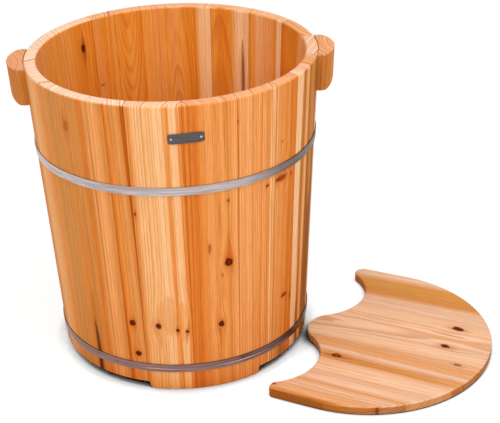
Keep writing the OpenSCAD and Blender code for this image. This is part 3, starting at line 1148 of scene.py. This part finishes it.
# Tones, knots and streaks lie at degrees round the axis and at millimetres of height
STAVE_LOOKS = (
    BoardLook(
        (
            (-124, T.TAN), (-123.2, T.SAND), (-121, T.SAND), (-119.5, T.HONEY), (-117.6, T.TAN),
            (-116.6, T.AMBER),
        ),
        Grain(140, 30, spacing=2.8, contrast=0.6),
        end=T.MILK,
    ),
    BoardLook(
        (
            (-116.6, T.DEEP), (-116.1, T.AMBER), (-115.3, T.ORANGE), (-114, T.ORANGE), (-112.4, T.TAN),
            (-111, T.HONEY), (-109.4, T.TAN), (-108.9, T.AMBER), (-108.7, T.DEEP),
        ),
        Grain(-120, 50, -0.018, spacing=3.4, contrast=0.5),
        (Knot(-113.6, 98, 8, 8.5, T.WALNUT), Knot(-112.2, 52, 8, 7.5, T.WALNUT)),
        seam=0.6,
        end=T.MILK,
    ),
    BoardLook(
        (
            (-108.7, T.DEEP), (-108.4, T.TAN), (-107.2, T.HONEY), (-106.4, T.SAND), (-104.8, T.PALE),
            (-101, T.PALE), (-99, T.PALE), (-96.5, T.PALE), (-94, T.SAND), (-92.9, T.ORANGE),
            (-92.3, T.PALE), (-90.5, T.CREAM), (-89, T.SAND), (-88, T.ORANGE), (-87.6, T.AMBER),
        ),
        Grain(190, 60, spacing=3.9, wave=5, contrast=0.75),
        (
            Knot(-102.2, 97, 7, 8.5, T.WALNUT), Knot(-94, 91, 4, 4, T.WALNUT),
            Knot(-90, 89, 4, 4, T.WALNUT), Knot(-107.8, 257, 3, 5, T.RUSSET, 0.6),
            Knot(-98, 112, 12, 14, T.HONEY, 0.0), Knot(-92, 110, 10, 12, T.HONEY, 0.0),
        ),
        (
            Streak(-97.5, 78, 146, 19, T.TAN, 0.55), Streak(-92.3, 70, 136, 19, T.ORANGE, 0.5),
            Streak(-101.5, 60, 96, 3, T.AMBER, 0.6), Streak(-90.6, 66, 110, 3, T.NUT, 0.6),
            Streak(-94.2, 78, 122, 2.4, T.NUT, 0.6),
        ),
        seam=0.5,
        end=T.BLUSH,
    ),
    BoardLook(
        (
            (-87.6, T.AMBER), (-86.6, T.ORANGE), (-85.8, T.AMBER), (-83.6, T.AMBER), (-81.5, T.ORANGE),
            (-79.6, T.HONEY), (-78.6, T.SAND), (-76.5, T.HONEY), (-73, T.HONEY), (-70, T.HONEY),
            (-67.6, T.SAND), (-67, T.ORANGE),
        ),
        Grain(-150, 46, spacing=3.0, wave=7, contrast=0.75),
        (
            Knot(-71.4, 182, 10, 10.5, T.RUSSET, 1.0, 0.9), Knot(-79.2, 206, 3.6, 12, T.NUT, 0.8, 0.5),
            Knot(-75.2, 94, 7.5, 8.5, T.WALNUT), Knot(-71.2, 268, 3, 3, T.RUSSET, 0.7),
            Knot(-73.5, 165, 2.5, 4, T.RUSSET, 0.5),
        ),
        (
            Streak(-74.6, 205, 285, 4.5, T.AMBER, 0.7), Streak(-71.4, 176, 226, 5, T.DEEP, 0.7),
            Streak(-75, 224, 270, 1.6, T.NUT, 0.6), Streak(-72.2, 295, 420, 0.9, T.BROWN, 0.7),
            Streak(-73.5, 125, 180, 5, T.AMBER, 0.5), Streak(-75.5, 55, 90, 3, T.DEEP, 0.7),
        ),
        end=T.FAWN,
    ),
    BoardLook(
        (
            (-67, T.AMBER), (-66.4, T.SAND), (-63.5, T.SAND), (-61, T.SAND), (-57.5, T.SAND),
            (-56.2, T.ORANGE), (-55.4, T.SAND), (-53, T.HONEY), (-51.9, T.SAND), (-51.3, T.CREAM),
            (-50, T.PALE), (-49, T.ORANGE),
        ),
        Grain(180, 30, spacing=3.0, wave=5, contrast=0.9),
        (Knot(-67.2, 369, 4, 6, T.RUSSET, 0.8), Knot(-53.3, 272, 5, 3.4, T.RUSSET, 0.8)),
        seam=0.5,
        end=T.FAWN,
    ),
    BoardLook(
        (
            (-49, T.PALE), (-48.2, T.HONEY), (-45, T.HONEY), (-43, T.ORANGE), (-41.5, T.HONEY),
            (-40.3, T.AMBER), (-38.5, T.ORANGE), (-36.6, T.AMBER),
        ),
        Grain(-150, 60, spacing=4.0, wave=10, contrast=0.45),
        (
            Knot(-45.6, 274, 17, 8, T.AMBER, 0.9, 0.5), Knot(-46, 274, 7, 4, T.RUSSET, 0.8, 0.2),
            Knot(-41.2, 273, 4, 5, T.RUSSET, 0.8), Knot(-41.8, 101, 10, 5, T.BROWN, 0.9),
            Knot(-37.8, 94, 4, 7, T.BROWN, 0.8), Knot(-45.4, 323, 4, 3, T.AMBER, 0.5),
        ),
        (
            Streak(-40.3, 165, 240, 4, T.NUT, 0.8), Streak(-40.3, 150, 330, 12, T.AMBER, 0.5),
            Streak(-43.5, -40, 36, 22, T.BROWN, 0.7),
        ),
        seam=0.6,
        end=T.FAWN,
    ),
    # Towards the tub's right edge this stave's browns are dark wood together with painted shade of that side
    BoardLook(
        (
            (-36.6, T.AMBER), (-36, T.CREAM), (-34, T.CREAM), (-31.9, T.CREAM), (-31.1, T.TAN),
            (-29.9, T.NUT), (-28.8, T.TAN), (-27.8, T.SAND), (-26.4, T.PALE), (-25.6, T.TAN),
            (-24.9, T.NUT), (-23.8, T.NUT), (-21.8, T.BROWN_AND_SHADE), (-18, T.BROWN_AND_SHADE), (-14.3, T.NUT),
        ),
        Grain(150, 50, spacing=3.4, contrast=0.6),
        (),
        (
            Streak(-31.6, 120, 420, 1.6, T.WALNUT, 0.7), Streak(-30.6, -60, 90, 9, T.BROWN, 0.7),
            Streak(-20.5, 180, 620, 24, T.TAN, 0.75),
        ),
        end=T.ROSE,
    ),
    BoardLook(
        ((-14.3, T.AMBER), (-13.4, T.BLUSH), (-4, T.PALE), (4, T.SAND), (8.1, T.SAND)),
        Grain(-60, 120, lean_depth=0.1, spacing=4.0, wave=10, contrast=0.45),
        end=T.ROSE,
    ),
    BoardLook(
        (
            (8.1, T.PALE), (13, T.SAND), (14.4, T.GINGER), (20, T.GINGER), (26, T.GINGER), (28.6, T.AMBER),
            (29.7, T.GINGER),
        ),
        Grain(20, 140, lean_depth=0.08, spacing=4.5, wave=10, contrast=0.45),
        end=T.CLAY,
    ),
    BoardLook(
        (
            (29.7, T.CREAM), (33, T.CREAM), (33.6, T.GINGER), (35, T.GOLD), (38, T.SAND), (42, T.SAND),
            (45.5, T.PALE), (48, T.GOLD), (50.4, T.GINGER),
        ),
        Grain(-170, 30, spacing=2.8, contrast=0.6),
    ),
    BoardLook(
        (
            (50.4, T.GINGER), (51.2, T.CREAM), (55, T.CREAM), (58, T.PALE), (60, T.GOLD), (62.4, T.GINGER),
            (66, T.GINGER), (69, T.GOLD), (70.6, T.GINGER),
        ),
        Grain(16, 2, lean_depth=0.05, spacing=3.2, wave=3, contrast=0.6),
        (),
        (
            Streak(54.8, 262, 366, 8, T.NUT, 0.8), Streak(54.4, 250, 346, 5, T.RUSSET, 0.7),
            Streak(66, 335, 410, 9, T.AMBER, 0.5),
        ),
    ),
    BoardLook(
        ((70.6, T.PALE), (72, T.CREAM), (74, T.CREAM), (76.4, T.PALE), (77.6, T.GOLD), (78.3, T.GINGER)),
        Grain(130, 20, spacing=3.0, contrast=0.4),
    ),
    BoardLook(
        ((78.3, T.GINGER), (82, T.GINGER), (84.6, T.GOLD), (88, T.HONEY), (91.9, T.GOLD)),
        Grain(6, -9, lean_depth=0.05, spacing=2.8, wave=3, contrast=0.6),
    ),
    BoardLook(
        ((91.9, T.GOLD), (96, T.HONEY), (99, T.GOLD), (102.4, T.GOLD), (103.1, T.GINGER)),
        Grain(-150, 40, spacing=2.9, contrast=0.6),
    ),
    BoardLook(
        ((103.1, T.GINGER), (104, T.GINGER), (109, T.GOLD), (112, T.GINGER), (115.9, T.GOLD)),
        Grain(2, 30, lean_depth=-0.08, spacing=3.0, wave=4, contrast=0.65),
    ),
    BoardLook(
        ((115.9, T.GINGER), (117, T.GOLD), (120, T.GOLD), (123, T.GINGER), (125.5, T.HONEY), (128, T.GOLD)),
        Grain(150, 40, spacing=2.8, contrast=0.6),
        (Knot(125.5, 305, 6, 4, T.BROWN, 0.6, 0.3),),
        seam=0.5,
    ),
    BoardLook(
        ((128, T.AMBER), (128.8, T.GINGER), (132, T.GINGER), (138, T.GINGER), (142, T.GOLD), (146, T.GOLD)),
        Grain(-140, 50, spacing=3.2, contrast=0.6),
        (Knot(134.8, 364, 6.5, 11, T.WALNUT),),
        (Streak(134.6, 325, 395, 2.6, T.BROWN, 0.6),),
        end=T.MILK,
    ),
    BoardLook(
        ((146, T.SAND), (150, T.GOLD), (156, T.GOLD), (163, T.GOLD), (167.1, T.SAND)),
        Grain(120, 80, lean_depth=0.06, spacing=3.6, wave=7, contrast=0.5),
        end=T.MILK,
    ),
    BoardLook(
        ((167.1, T.SAND), (172, T.HONEY), (180, T.SAND), (190, T.ORANGE)),
        Grain(-110, 60, spacing=3.6, contrast=0.5),
        end=T.MILK,
    ),
    # The pale band near 202 degrees is pale wood together with a painted sheen on the tub's left side
    BoardLook(
        ((190, T.AMBER), (196, T.HONEY), (202, T.PALE), (207, T.SAND), (210.5, T.HONEY), (212, T.TAN)),
        Grain(210, 40, spacing=3.6, wave=8, contrast=0.25),
        end=T.MILK,
    ),
    BoardLook(
        (
            (212, T.HONEY), (217, T.OCHRE), (222, T.TAN), (230, T.TAN), (233.5, T.AMBER), (234.3, T.TAN),
            (236, T.SAND),
        ),
        Grain(-220, 30, 0.006, spacing=3.8, wave=6, contrast=0.5),
        (Knot(225, 359, 7, 13, T.NUT, 0.9, 0.25),),
        (
            Streak(226.4, -250, 255, 24, T.AMBER, 0.5), Streak(226.7, -170, 150, 15, T.NUT, 0.75),
            Streak(226.6, -110, 96, 9, T.WALNUT, 0.9), Streak(226.6, -36, 40, 9, T.WALNUT, 0.8),
            Streak(229.2, -120, 300, 7, T.NUT, 0.4),
        ),
        end=T.MILK,
    ),
)

# Here they lie at millimetres across the grain and along it, from the lid's middle
LID_LOOKS = (
    BoardLook(
        (
            (-168, T.BLUSH), (-156, T.BLUSH), (-149, T.CLAY), (-143, T.MAIZE), (-136, T.MAIZE),
            (-130, T.MAIZE), (-124, T.OCHRE), (-109, T.OCHRE), (-104, T.CLAY), (-99, T.ROSE), (-98, T.ROSE),
        ),
        Grain(-60, 30, 0.03, spacing=3.0, wave=16, contrast=0.8),
        end=T.NUT,
    ),
    BoardLook(
        ((-98, T.ROSE), (-88, T.ROSE), (-76, T.ROSE), (-68, T.BLUSH), (-50, T.BLUSH)),
        Grain(90, 60, spacing=2.6, wave=14, contrast=0.7),
        (Knot(-62, -110, 9, 15, T.WALNUT, 1.0, 0.8),),
        seam=0.2,
        end=T.NUT,
    ),
    BoardLook(
        (
            (-50, T.BLUSH), (-28, T.BLUSH), (-20, T.BLUSH), (-14, T.ROSE), (-8, T.ROSE), (-2, T.ROSE),
            (4, T.BLUSH), (18, T.BLUSH), (22, T.ROSE), (25, T.CLAY), (28, T.CLAY),
        ),
        Grain(-10, 50, 0.04, spacing=2.8, wave=20, contrast=0.7),
        (Knot(-15, -108, 8, 12, T.WALNUT, 1.0, 0.8), Knot(21, -137, 5, 9, T.NUT, 0.8)),
        (
            Streak(-42, -135, -75, 3, T.NUT, 0.8), Streak(-44, -60, 60, 2, T.OCHRE, 0.6),
            Streak(-9, -150, -80, 2, T.NUT, 0.7), Streak(-4, -100, 20, 2, T.OCHRE, 0.6),
        ),
        seam=0.2,
        end=T.NUT,
    ),
    BoardLook(
        (
            (28, T.CLAY), (38, T.CLAY), (46, T.CLAY), (50, T.ROSE), (54, T.ROSE), (58, T.CLAY),
            (62, T.BUFF), (70, T.BUFF), (74, T.CLAY), (79, T.BLUSH),
        ),
        Grain(-120, 30, spacing=2.6, wave=12, contrast=0.85),
        (Knot(63, 14, 8, 13, T.BROWN, 1.0, 0.9),),
        (
            Streak(64, -140, 110, 3, T.NUT, 0.8), Streak(69, -150, 60, 4, T.NUT, 0.7),
            Streak(36, -150, 90, 4, T.OCHRE, 0.7),
        ),
        seam=0.25,
        end=T.NUT,
    ),
    BoardLook(
        (
            (79, T.BLUSH), (98, T.BLUSH), (104, T.ROSE), (118, T.ROSE), (124, T.BLUSH), (128, T.CLAY),
            (130, T.CLAY),
        ),
        Grain(100, 50, spacing=2.6, wave=12, contrast=0.8),
        (),
        (Streak(104, -120, 20, 2.4, T.OCHRE, 0.7), Streak(88, -60, 90, 2, T.OCHRE, 0.6)),
        seam=0.2,
        end=T.OCHRE,
    ),
    BoardLook(
        (
            (130, T.CLAY), (138, T.ROSE), (144, T.ROSE), (150, T.CLAY), (162, T.CLAY), (165, T.OCHRE),
            (168, T.NUT),
        ),
        Grain(20, 40, spacing=2.8, wave=14, contrast=0.75),
        (Knot(150.6, -78, 4, 6, T.BROWN, 0.6), Knot(155, 63, 5, 8, T.BROWN, 0.8)),
        end=T.NUT,
    ),
)


@dataclass
class Staves:
    """The 21 staves of the tub."""

    tub: TubShape
    seed_step: float = 3.7
    finish: WoodFinish = WoodFinish()

    def dress(self, shop: Workshop) -> None:
        """Gives each stave its own wood.

        Args:
            shop: The shared groups.
        """
        tub = self.tub
        for number, look in enumerate(STAVE_LOOKS, 1):
            name = f"stave_{number:02d}"
            start, end = SEAMS[number - 1], SEAMS[number]
            feeds = tub.feeds(math.radians(start + end) / 2, math.radians(end - start) / 2)
            across = Across(start, end, tub.foot_radius, tub.slope)
            site = Site(shop.stave_place.tree, feeds, across, number * self.seed_step, tub.height * MM)
            dress(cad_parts[name], self.finish.material(f"{name}_wood", look, shop, site))
            log.info("%s dressed with %d knots", name, len(look.knots))


@dataclass
class Handles:
    """The two grip blocks, cut across the grain so that their tops show arcs."""

    tub: TubShape
    turns: tuple[tuple[str, float], ...] = (("left_handle", 182.5), ("right_handle", -3.3))
    half_angle: float = 14.0
    tones: tuple[tuple[float, Tone], ...] = (
        (-14.0, T.NUT), (-6.0, T.TAN), (2.0, T.AMBER), (8.0, T.TAN), (14.0, T.NUT),
    )
    grain: Grain = Grain(10, 62, spacing=3.4, wave=8, contrast=0.8)
    first_seed: float = 40.0
    finish: WoodFinish = WoodFinish(roughness=0.46)

    def dress(self, shop: Workshop) -> None:
        """Gives the handles their wood.

        Args:
            shop: The shared groups.
        """
        tub = self.tub
        for name, turn in self.turns:
            tones = tuple((turn + angle, tone) for angle, tone in self.tones)
            look = BoardLook(tones, self.grain, end=T.CLAY)
            across = Across(turn - self.half_angle, turn + self.half_angle, tub.foot_radius, tub.slope)
            feeds = tub.feeds(math.radians(turn), math.radians(self.half_angle))
            site = Site(shop.stave_place.tree, feeds, across, self.first_seed + turn, tub.height * MM)
            dress(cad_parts[name], self.finish.material(f"{name}_wood", look, shop, site))
            log.info("%s dressed", name)


@dataclass
class FlatBoards:
    """A row of flat boards side by side.

    The middle is a point of their top face, in metres. The turn is the direction of their grain, and the
    edges are millimetres across it from the middle.
    """

    stem: str
    middle: Triple
    turn: float
    edges: tuple[float, ...]
    looks: tuple[BoardLook, ...]
    first_seed: float = 90.0
    seed_step: float = 5.3
    finish: WoodFinish = WoodFinish()

    def dress(self, shop: Workshop) -> None:
        """Gives each board its own wood.

        Args:
            shop: The shared groups.
        """
        for number, look in enumerate(self.looks, 1):
            name = f"{self.stem}_{number}"
            start, end = self.edges[number - 1], self.edges[number]
            feeds = {
                "Middle": self.middle,
                "Turn": math.radians(self.turn),
                "Across": (start + end) / 2,
                "Half Width": (end - start) / 2,
            }
            seed = self.first_seed + number * self.seed_step
            site = Site(shop.board_place.tree, feeds, Across(start, end), seed)
            dress(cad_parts[name], self.finish.material(f"{name}_wood", look, shop, site))
            log.info("%s dressed", name)


@dataclass
class Lid:
    """The loose lid on the ground: its middle is a reach from the tub's axis, at a bearing."""

    tub: TubShape
    reach: float = 0.249968
    bearing: float = -18.6
    thickness: float = 0.012
    turn: float = 149.5
    edges: tuple[float, ...] = (-168, -98, -50, 28, 79, 130, 168)

    def dress(self, shop: Workshop) -> None:
        """Gives the lid's boards their wood.

        Args:
            shop: The shared groups.
        """
        bearing = math.radians(self.bearing)
        x = self.tub.axis[0] + self.reach * math.cos(bearing)
        y = self.tub.axis[1] + self.reach * math.sin(bearing)
        FlatBoards("lid_board", (x, y, self.thickness), self.turn, self.edges, LID_LOOKS).dress(shop)


@dataclass
class TubFloor:
    """The round floor inside the tub: five boards, whose shares of its width are the parts."""

    tub: TubShape
    radius: float = 152.4525
    top: float = 0.036
    turn: float = 20.0
    parts: tuple[int, ...] = (58, 66, 70, 64, 56)
    woods: tuple[tuple[Tone, Tone, float], ...] = (
        (T.HONEY, T.SAND, 60), (T.ORANGE, T.HONEY, -40), (T.SAND, T.HONEY, 12), (T.HONEY, T.ORANGE, -90),
        (T.SAND, T.PALE, 50),
    )

    def look(self, one: Tone, other: Tone, heart: float) -> BoardLook:
        """The look of one floor board of two tones, whose heart line lies so far across."""
        grain = Grain(heart, 40, spacing=3.8, wave=14, contrast=0.5)
        return BoardLook(((-200, one), (-60, other), (60, one), (200, other)), grain, end=one)

    def dress(self, shop: Workshop) -> None:
        """Gives the floor's boards their wood.

        Args:
            shop: The shared groups.
        """
        edges = np.cumsum([0, *self.parts]) / sum(self.parts) * 2 * self.radius - self.radius
        looks = tuple(self.look(*wood) for wood in self.woods)
        middle = (*self.tub.axis, self.top)
        FlatBoards("floor_board", middle, self.turn, tuple(float(e) for e in edges), looks).dress(shop)


@dataclass
class SmallWood:
    """The dowels and pins inside the joints: plain turned wood with its grain along each piece."""

    tub: TubShape
    woods: tuple[tuple[str, Tone], ...] = (("handle_dowels", T.HONEY), ("seam_pins", T.SAND))
    grain: Grain = Grain(40, 30, spacing=1.1, wave=3, contrast=0.5)
    half_angle: float = math.pi * 1.02
    seed: float = 130.0
    finish: WoodFinish = WoodFinish(roughness=0.61)

    def dress(self, shop: Workshop) -> None:
        """Gives the dowels and the pins their wood.

        Args:
            shop: The shared groups.
        """
        feeds = self.tub.feeds(0.0, self.half_angle)
        for name, tone in self.woods:
            look = BoardLook(((-1.0, tone), (1.0, T.PALE)), self.grain)
            site = Site(shop.stave_place.tree, feeds, Across(-1.0, 1.0), self.seed)
            dress(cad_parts[name], self.finish.material(f"{name}_wood", look, shop, site))
            log.info("%s dressed", name)


@dataclass
class Hoops:
    """The two steel hoops and their rivets."""

    tub: TubShape
    steels: tuple[tuple[str, SteelFinish], ...] = (
        ("upper_hoop", SteelFinish(T.STEEL)),
        # The lower hoop's steel is drawn darker as painted shade, and its painted dark reflection is weaker
        ("lower_hoop", SteelFinish(T.SHADED_STEEL, painted_dark_side=0.72)),
        ("hoop_rivets", SteelFinish(T.STEEL)),
    )
    first_seed: float = 11.0

    def dress(self, shop: Workshop) -> None:
        """Gives the hoops and the rivets their steel.

        Args:
            shop: The shared groups.
        """
        for number, (name, steel) in enumerate(self.steels):
            material = steel.material(f"{name}_steel", shop, self.tub, self.first_seed + number)
            dress(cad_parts[name], material)
            log.info("%s dressed", name)


@dataclass
class Plate:
    """The bare metal plate on the front, curved to the tub, with two domed pins.

    Angles are degrees and lengths are millimetres. The plate and the feet of the pins are sunk a little.
    """

    tub: TubShape
    turn: float = -86.5
    height: float = 358.0
    length: float = 43.0
    width: float = 13.0
    thick: float = 1.3
    edge: float = 0.5
    tilt: float = 1.5
    sunk: float = 0.15
    squareness: int = 8
    around: int = 96
    bevel_steps: int = 6
    face_steps: int = 8
    pin_radius: float = 1.5
    pin_height: float = 0.8
    pin_sunk: float = 0.1
    pin_from_end: float = 4.0
    pin_around: int = 32
    pin_steps: int = 9
    bump: float = 0.2
    seed: float = 21.0

    def wrap(self, across: np.ndarray, up: np.ndarray, out: np.ndarray) -> np.ndarray:
        """Lays flat points onto the tub's cone.

        The way across is an arc length at that height, and the way out is added to the cone's radius.

        Args:
            across: Millimetres to the right of the plate's middle.
            up: Millimetres above it.
            out: Millimetres out from the wood.

        Returns:
            The points, in metres.
        """
        tilt = math.radians(self.tilt)
        side = across * math.cos(tilt) - up * math.sin(tilt)
        z = (self.height + across * math.sin(tilt) + up * math.cos(tilt)) / MM
        radius = self.tub.foot_radius + self.tub.slope * z
        angle = math.radians(self.turn) + side / MM / radius
        reach = radius + out / MM
        x = self.tub.axis[0] + reach * np.cos(angle)
        y = self.tub.axis[1] + reach * np.sin(angle)
        return np.stack([x, y, z], -1)

    def shell(self, name: str, rows: np.ndarray) -> bpy.types.Object:
        """Joins rows of points, each a closed loop, into one skin that ends in a single point.

        Args:
            name: The piece's name.
            rows: Points by row and place in the row.

        Returns:
            The new object.
        """
        count, around = rows.shape[:2]
        row, place = np.meshgrid(np.arange(count - 1), np.arange(around), indexing="ij")
        after = (place + 1) % around
        low, high = row * around, (row + 1) * around
        quads = np.stack([low + place, low + after, high + after, high + place], -1)
        mesh = bpy.data.meshes.new(name)
        mesh.from_pydata(rows.reshape(-1, 3).tolist(), [], quads.reshape(-1, 4).tolist())
        mesh.validate()
        obj = bpy.data.objects.new(name, mesh)
        bpy.context.scene.collection.objects.link(obj)
        with bpy.context.temp_override(object=obj, active_object=obj, selected_objects=[obj]):
            mesh.shade_smooth()
        return obj

    def build_plate(self) -> bpy.types.Object:
        """Makes the plate.

        Its outline is a squared oval, x to the eighth power plus y to the eighth power, drawn in by a
        quarter circle at the edge and then shrunk in steps to a point in the middle of the face.

        Returns:
            The plate.
        """
        turn = np.linspace(0, 2 * np.pi, self.around, endpoint=False)
        power = self.squareness
        size = (np.abs(np.cos(turn)) ** power + np.abs(np.sin(turn)) ** power) ** (-1 / power)
        x, y = np.cos(turn) * size, np.sin(turn) * size
        bevel = np.linspace(0, np.pi / 2, self.bevel_steps)
        inset = np.concatenate([[0.0], self.edge * (1 - np.cos(bevel))])
        inner = np.linspace(1, 0, self.face_steps + 1)[1:]
        half_x = np.concatenate([self.length / 2 - inset, (self.length / 2 - self.edge) * inner])
        half_y = np.concatenate([self.width / 2 - inset, (self.width / 2 - self.edge) * inner])
        rounding = self.thick - self.edge + self.edge * np.sin(bevel)
        lift = np.concatenate([[-self.sunk], rounding, np.full(self.face_steps, self.thick)])
        flat = np.repeat(lift[:, None], self.around, 1)
        return self.shell("plate", self.wrap(half_x[:, None] * x, half_y[:, None] * y, flat))

    def build_pins(self) -> bpy.types.Object:
        """Makes the two pins: quarter circles turned about their middles, with their feet in the plate.

        Returns:
            Both pins as one object.
        """
        rise = np.linspace(0, np.pi / 2, self.pin_steps)[:, None]
        turn = np.linspace(0, 2 * np.pi, self.pin_around, endpoint=False)[None, :]
        radius = self.pin_radius * np.cos(rise)
        lift = self.thick - self.pin_sunk + self.pin_height * np.sin(rise) + 0 * turn
        parts = []
        for side in (-1, 1):
            across = side * (self.length / 2 - self.pin_from_end) + radius * np.cos(turn)
            parts.append(self.shell("plate_pin", self.wrap(across, radius * np.sin(turn), lift)))
        chosen = {"active_object": parts[0], "object": parts[0]}
        with bpy.context.temp_override(**chosen, selected_editable_objects=parts, selected_objects=parts):
            bpy.ops.object.join()
        parts[0].name = "plate_pins"
        return parts[0]

    def build(self, shop: Workshop) -> None:
        """Makes the plate and its pins, and dresses them.

        Args:
            shop: The shared groups.
        """
        for piece, tone in ((self.build_plate(), T.PEWTER), (self.build_pins(), T.STEEL)):
            finish = SteelFinish(tone, bump=self.bump)
            dress(piece, finish.material(f"{piece.name}_metal", shop, self.tub, self.seed))
            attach(piece, "root")
            log.info("%s built with %d faces", piece.name, len(piece.data.polygons))


@dataclass(frozen=True)
class Lamp:
    """A soft square lamp: its name, its place, the side of its square and its watts."""

    name: str
    place: Triple
    size: float
    watts: float


@dataclass
class Studio:
    """The pale floor, the white surround, the lamps and the camera.

    The surround's strength is what the object gets of it. The gap is how close to the floor a thing is
    where a black shadow is painted on the floor under it, and the opening is how free the floor is there,
    from painted shadow to plain.
    """

    eye: Triple = (-0.10004, -1.56362, 0.98177)
    lens: float = 96.63
    sensor: float = 36.0
    far: float = 60.0
    yaw: float = 0.0580
    pitch: float = 0.4724
    roll: float = -0.0314
    surround: float = 0.5
    floor_reach: float = 12.0
    floor_glow: float = 1.12
    floor_glow_share: float = 0.75
    paper: tuple[float, ...] = (0.82, 0.82, 0.82, 1.0)
    # The colour of the shadow painted on the floor under the tub
    painted_shadow: tuple[float, ...] = (0.0, 0.0, 0.0, 1.0)
    gap: float = 0.04
    opening: tuple[float, float] = (0.4, 0.64)
    lamp_colour: Triple = (1.0, 0.985, 0.96)
    aim: Triple = (-0.05, 0.0, 0.2)
    lamps: tuple[Lamp, ...] = (
        Lamp("key", (-1.0, -2.1, 1.5), 1.3, 22.5),
        Lamp("fill", (1.2, -0.6, 1.9), 1.2, 21.0),
        Lamp("top", (-0.3, -0.5, 2.2), 1.2, 17.0),
    )

    def build_camera(self) -> None:
        """Sets the camera up at the photograph's place and angle."""
        level = math.cos(self.pitch)
        look = Vector((math.sin(self.yaw) * level, math.cos(self.yaw) * level, -math.sin(self.pitch)))
        right = look.cross(Vector((0, 0, 1))).normalized()
        up = right.cross(look)
        side = right * math.cos(self.roll) + up * math.sin(self.roll)
        top = up * math.cos(self.roll) - right * math.sin(self.roll)
        data = bpy.data.cameras.new("camera")
        data.lens = self.lens
        data.sensor_width = self.sensor
        data.clip_end = self.far
        camera = bpy.data.objects.new("camera", data)
        turned = Matrix((side, top, -look)).transposed().to_4x4()
        camera.matrix_world = Matrix.Translation(Vector(self.eye)) @ turned
        bpy.context.scene.collection.objects.link(camera)
        bpy.context.scene.camera = camera

    def build_lamp(self, lamp: Lamp) -> None:
        """Adds one lamp, which points at the aim.

        Args:
            lamp: The lamp.
        """
        data = bpy.data.lights.new(lamp.name, "AREA")
        data.shape = "SQUARE"
        data.size = lamp.size
        data.energy = lamp.watts
        data.color = self.lamp_colour
        obj = bpy.data.objects.new(lamp.name, data)
        obj.location = lamp.place
        obj.rotation_euler = (Vector(self.aim) - Vector(lamp.place)).to_track_quat("-Z", "Y").to_euler()
        bpy.context.scene.collection.objects.link(obj)

    def seen_white(self, bench: Bench) -> Socket:
        """Tells the rays that see white from those that light the object.

        Args:
            bench: The bench of the tree that asks.

        Returns:
            1 for rays from the camera and from shiny or clear surfaces, and 0 for light.
        """
        path = bench.put("ShaderNodeLightPath")
        shiny = bench.math("MAXIMUM", path.outputs["Is Glossy Ray"], path.outputs["Is Transmission Ray"])
        return bench.math("MAXIMUM", path.outputs["Is Camera Ray"], shiny)

    def build_surround(self) -> None:
        """Makes the white surround, which shines on the object with part of its strength."""
        world = bpy.data.worlds.new("surround")
        bpy.context.scene.world = world
        world.use_nodes = True
        world.node_tree.nodes.clear()
        bench = Bench(world.node_tree)
        dim = bench.put("ShaderNodeBackground", {"Color": T.PAPER.linear, "Strength": self.surround})
        white = bench.put("ShaderNodeBackground", {"Color": T.PAPER.linear, "Strength": 1.0})
        feeds = {0: self.seen_white(bench), 1: dim.outputs[0], 2: white.outputs[0]}
        both = bench.put("ShaderNodeMixShader", feeds)
        bench.put("ShaderNodeOutputWorld", {"Surface": both.outputs[0]})

    def build_floor(self) -> None:
        """Makes the floor: a plain pale sheet that is seen as white, with the object's soft shadow and a
        black shadow painted in under the tub by ambient occlusion.
        """
        mesh = bpy.data.meshes.new("floor")
        reach = self.floor_reach
        corners = [(-reach, -reach, 0), (reach, -reach, 0), (reach, reach, 0), (-reach, reach, 0)]
        mesh.from_pydata(corners, [], [(0, 1, 2, 3)])
        floor = bpy.data.objects.new("floor", mesh)
        bpy.context.scene.collection.objects.link(floor)
        material, bench, shader = new_material("floor_paper")
        shader.inputs["Roughness"].default_value = 1.0
        shader.inputs["Specular IOR Level"].default_value = 0.0
        glow = bench.put("ShaderNodeEmission", {"Color": T.PAPER.linear, "Strength": self.floor_glow})
        # Painted shadow: where ambient occlusion finds the tub close above, the floor's colour goes to black
        # and its glow fades
        near = bench.put("ShaderNodeAmbientOcclusion", {"Distance": self.gap}, samples=8).outputs["AO"]
        unshadowed = bench.step(near, *self.opening)
        bench.feed(shader.inputs["Base Color"], bench.mix(unshadowed, self.painted_shadow, self.paper))
        share = bench.times(bench.times(self.seen_white(bench), self.floor_glow_share), unshadowed)
        both = bench.put("ShaderNodeMixShader", {0: share, 1: shader.outputs[0], 2: glow.outputs[0]})
        output = next(n for n in material.node_tree.nodes if n.type == "OUTPUT_MATERIAL")
        bench.feed(output.inputs["Surface"], both.outputs[0])
        floor.data.materials.append(material)

    def build(self) -> None:
        """Sets up the camera, the surround, the floor and the lamps."""
        self.build_camera()
        self.build_surround()
        self.build_floor()
        for lamp in self.lamps:
            self.build_lamp(lamp)
        view = bpy.context.scene.view_settings
        view.view_transform = "Standard"


def main() -> None:
    """Builds and dresses everything, in order."""
    logging.basicConfig(level=logging.INFO, format="%(name)s: %(message)s")
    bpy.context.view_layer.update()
    shop = Workshop()
    tub = TubShape.of_frame()
    Studio().build()
    for part in (Staves(tub), Handles(tub), Lid(tub), TubFloor(tub), SmallWood(tub), Hoops(tub)):
        part.dress(shop)
    Plate(tub).build(shop)


if __name__ == "__main__":
    main()
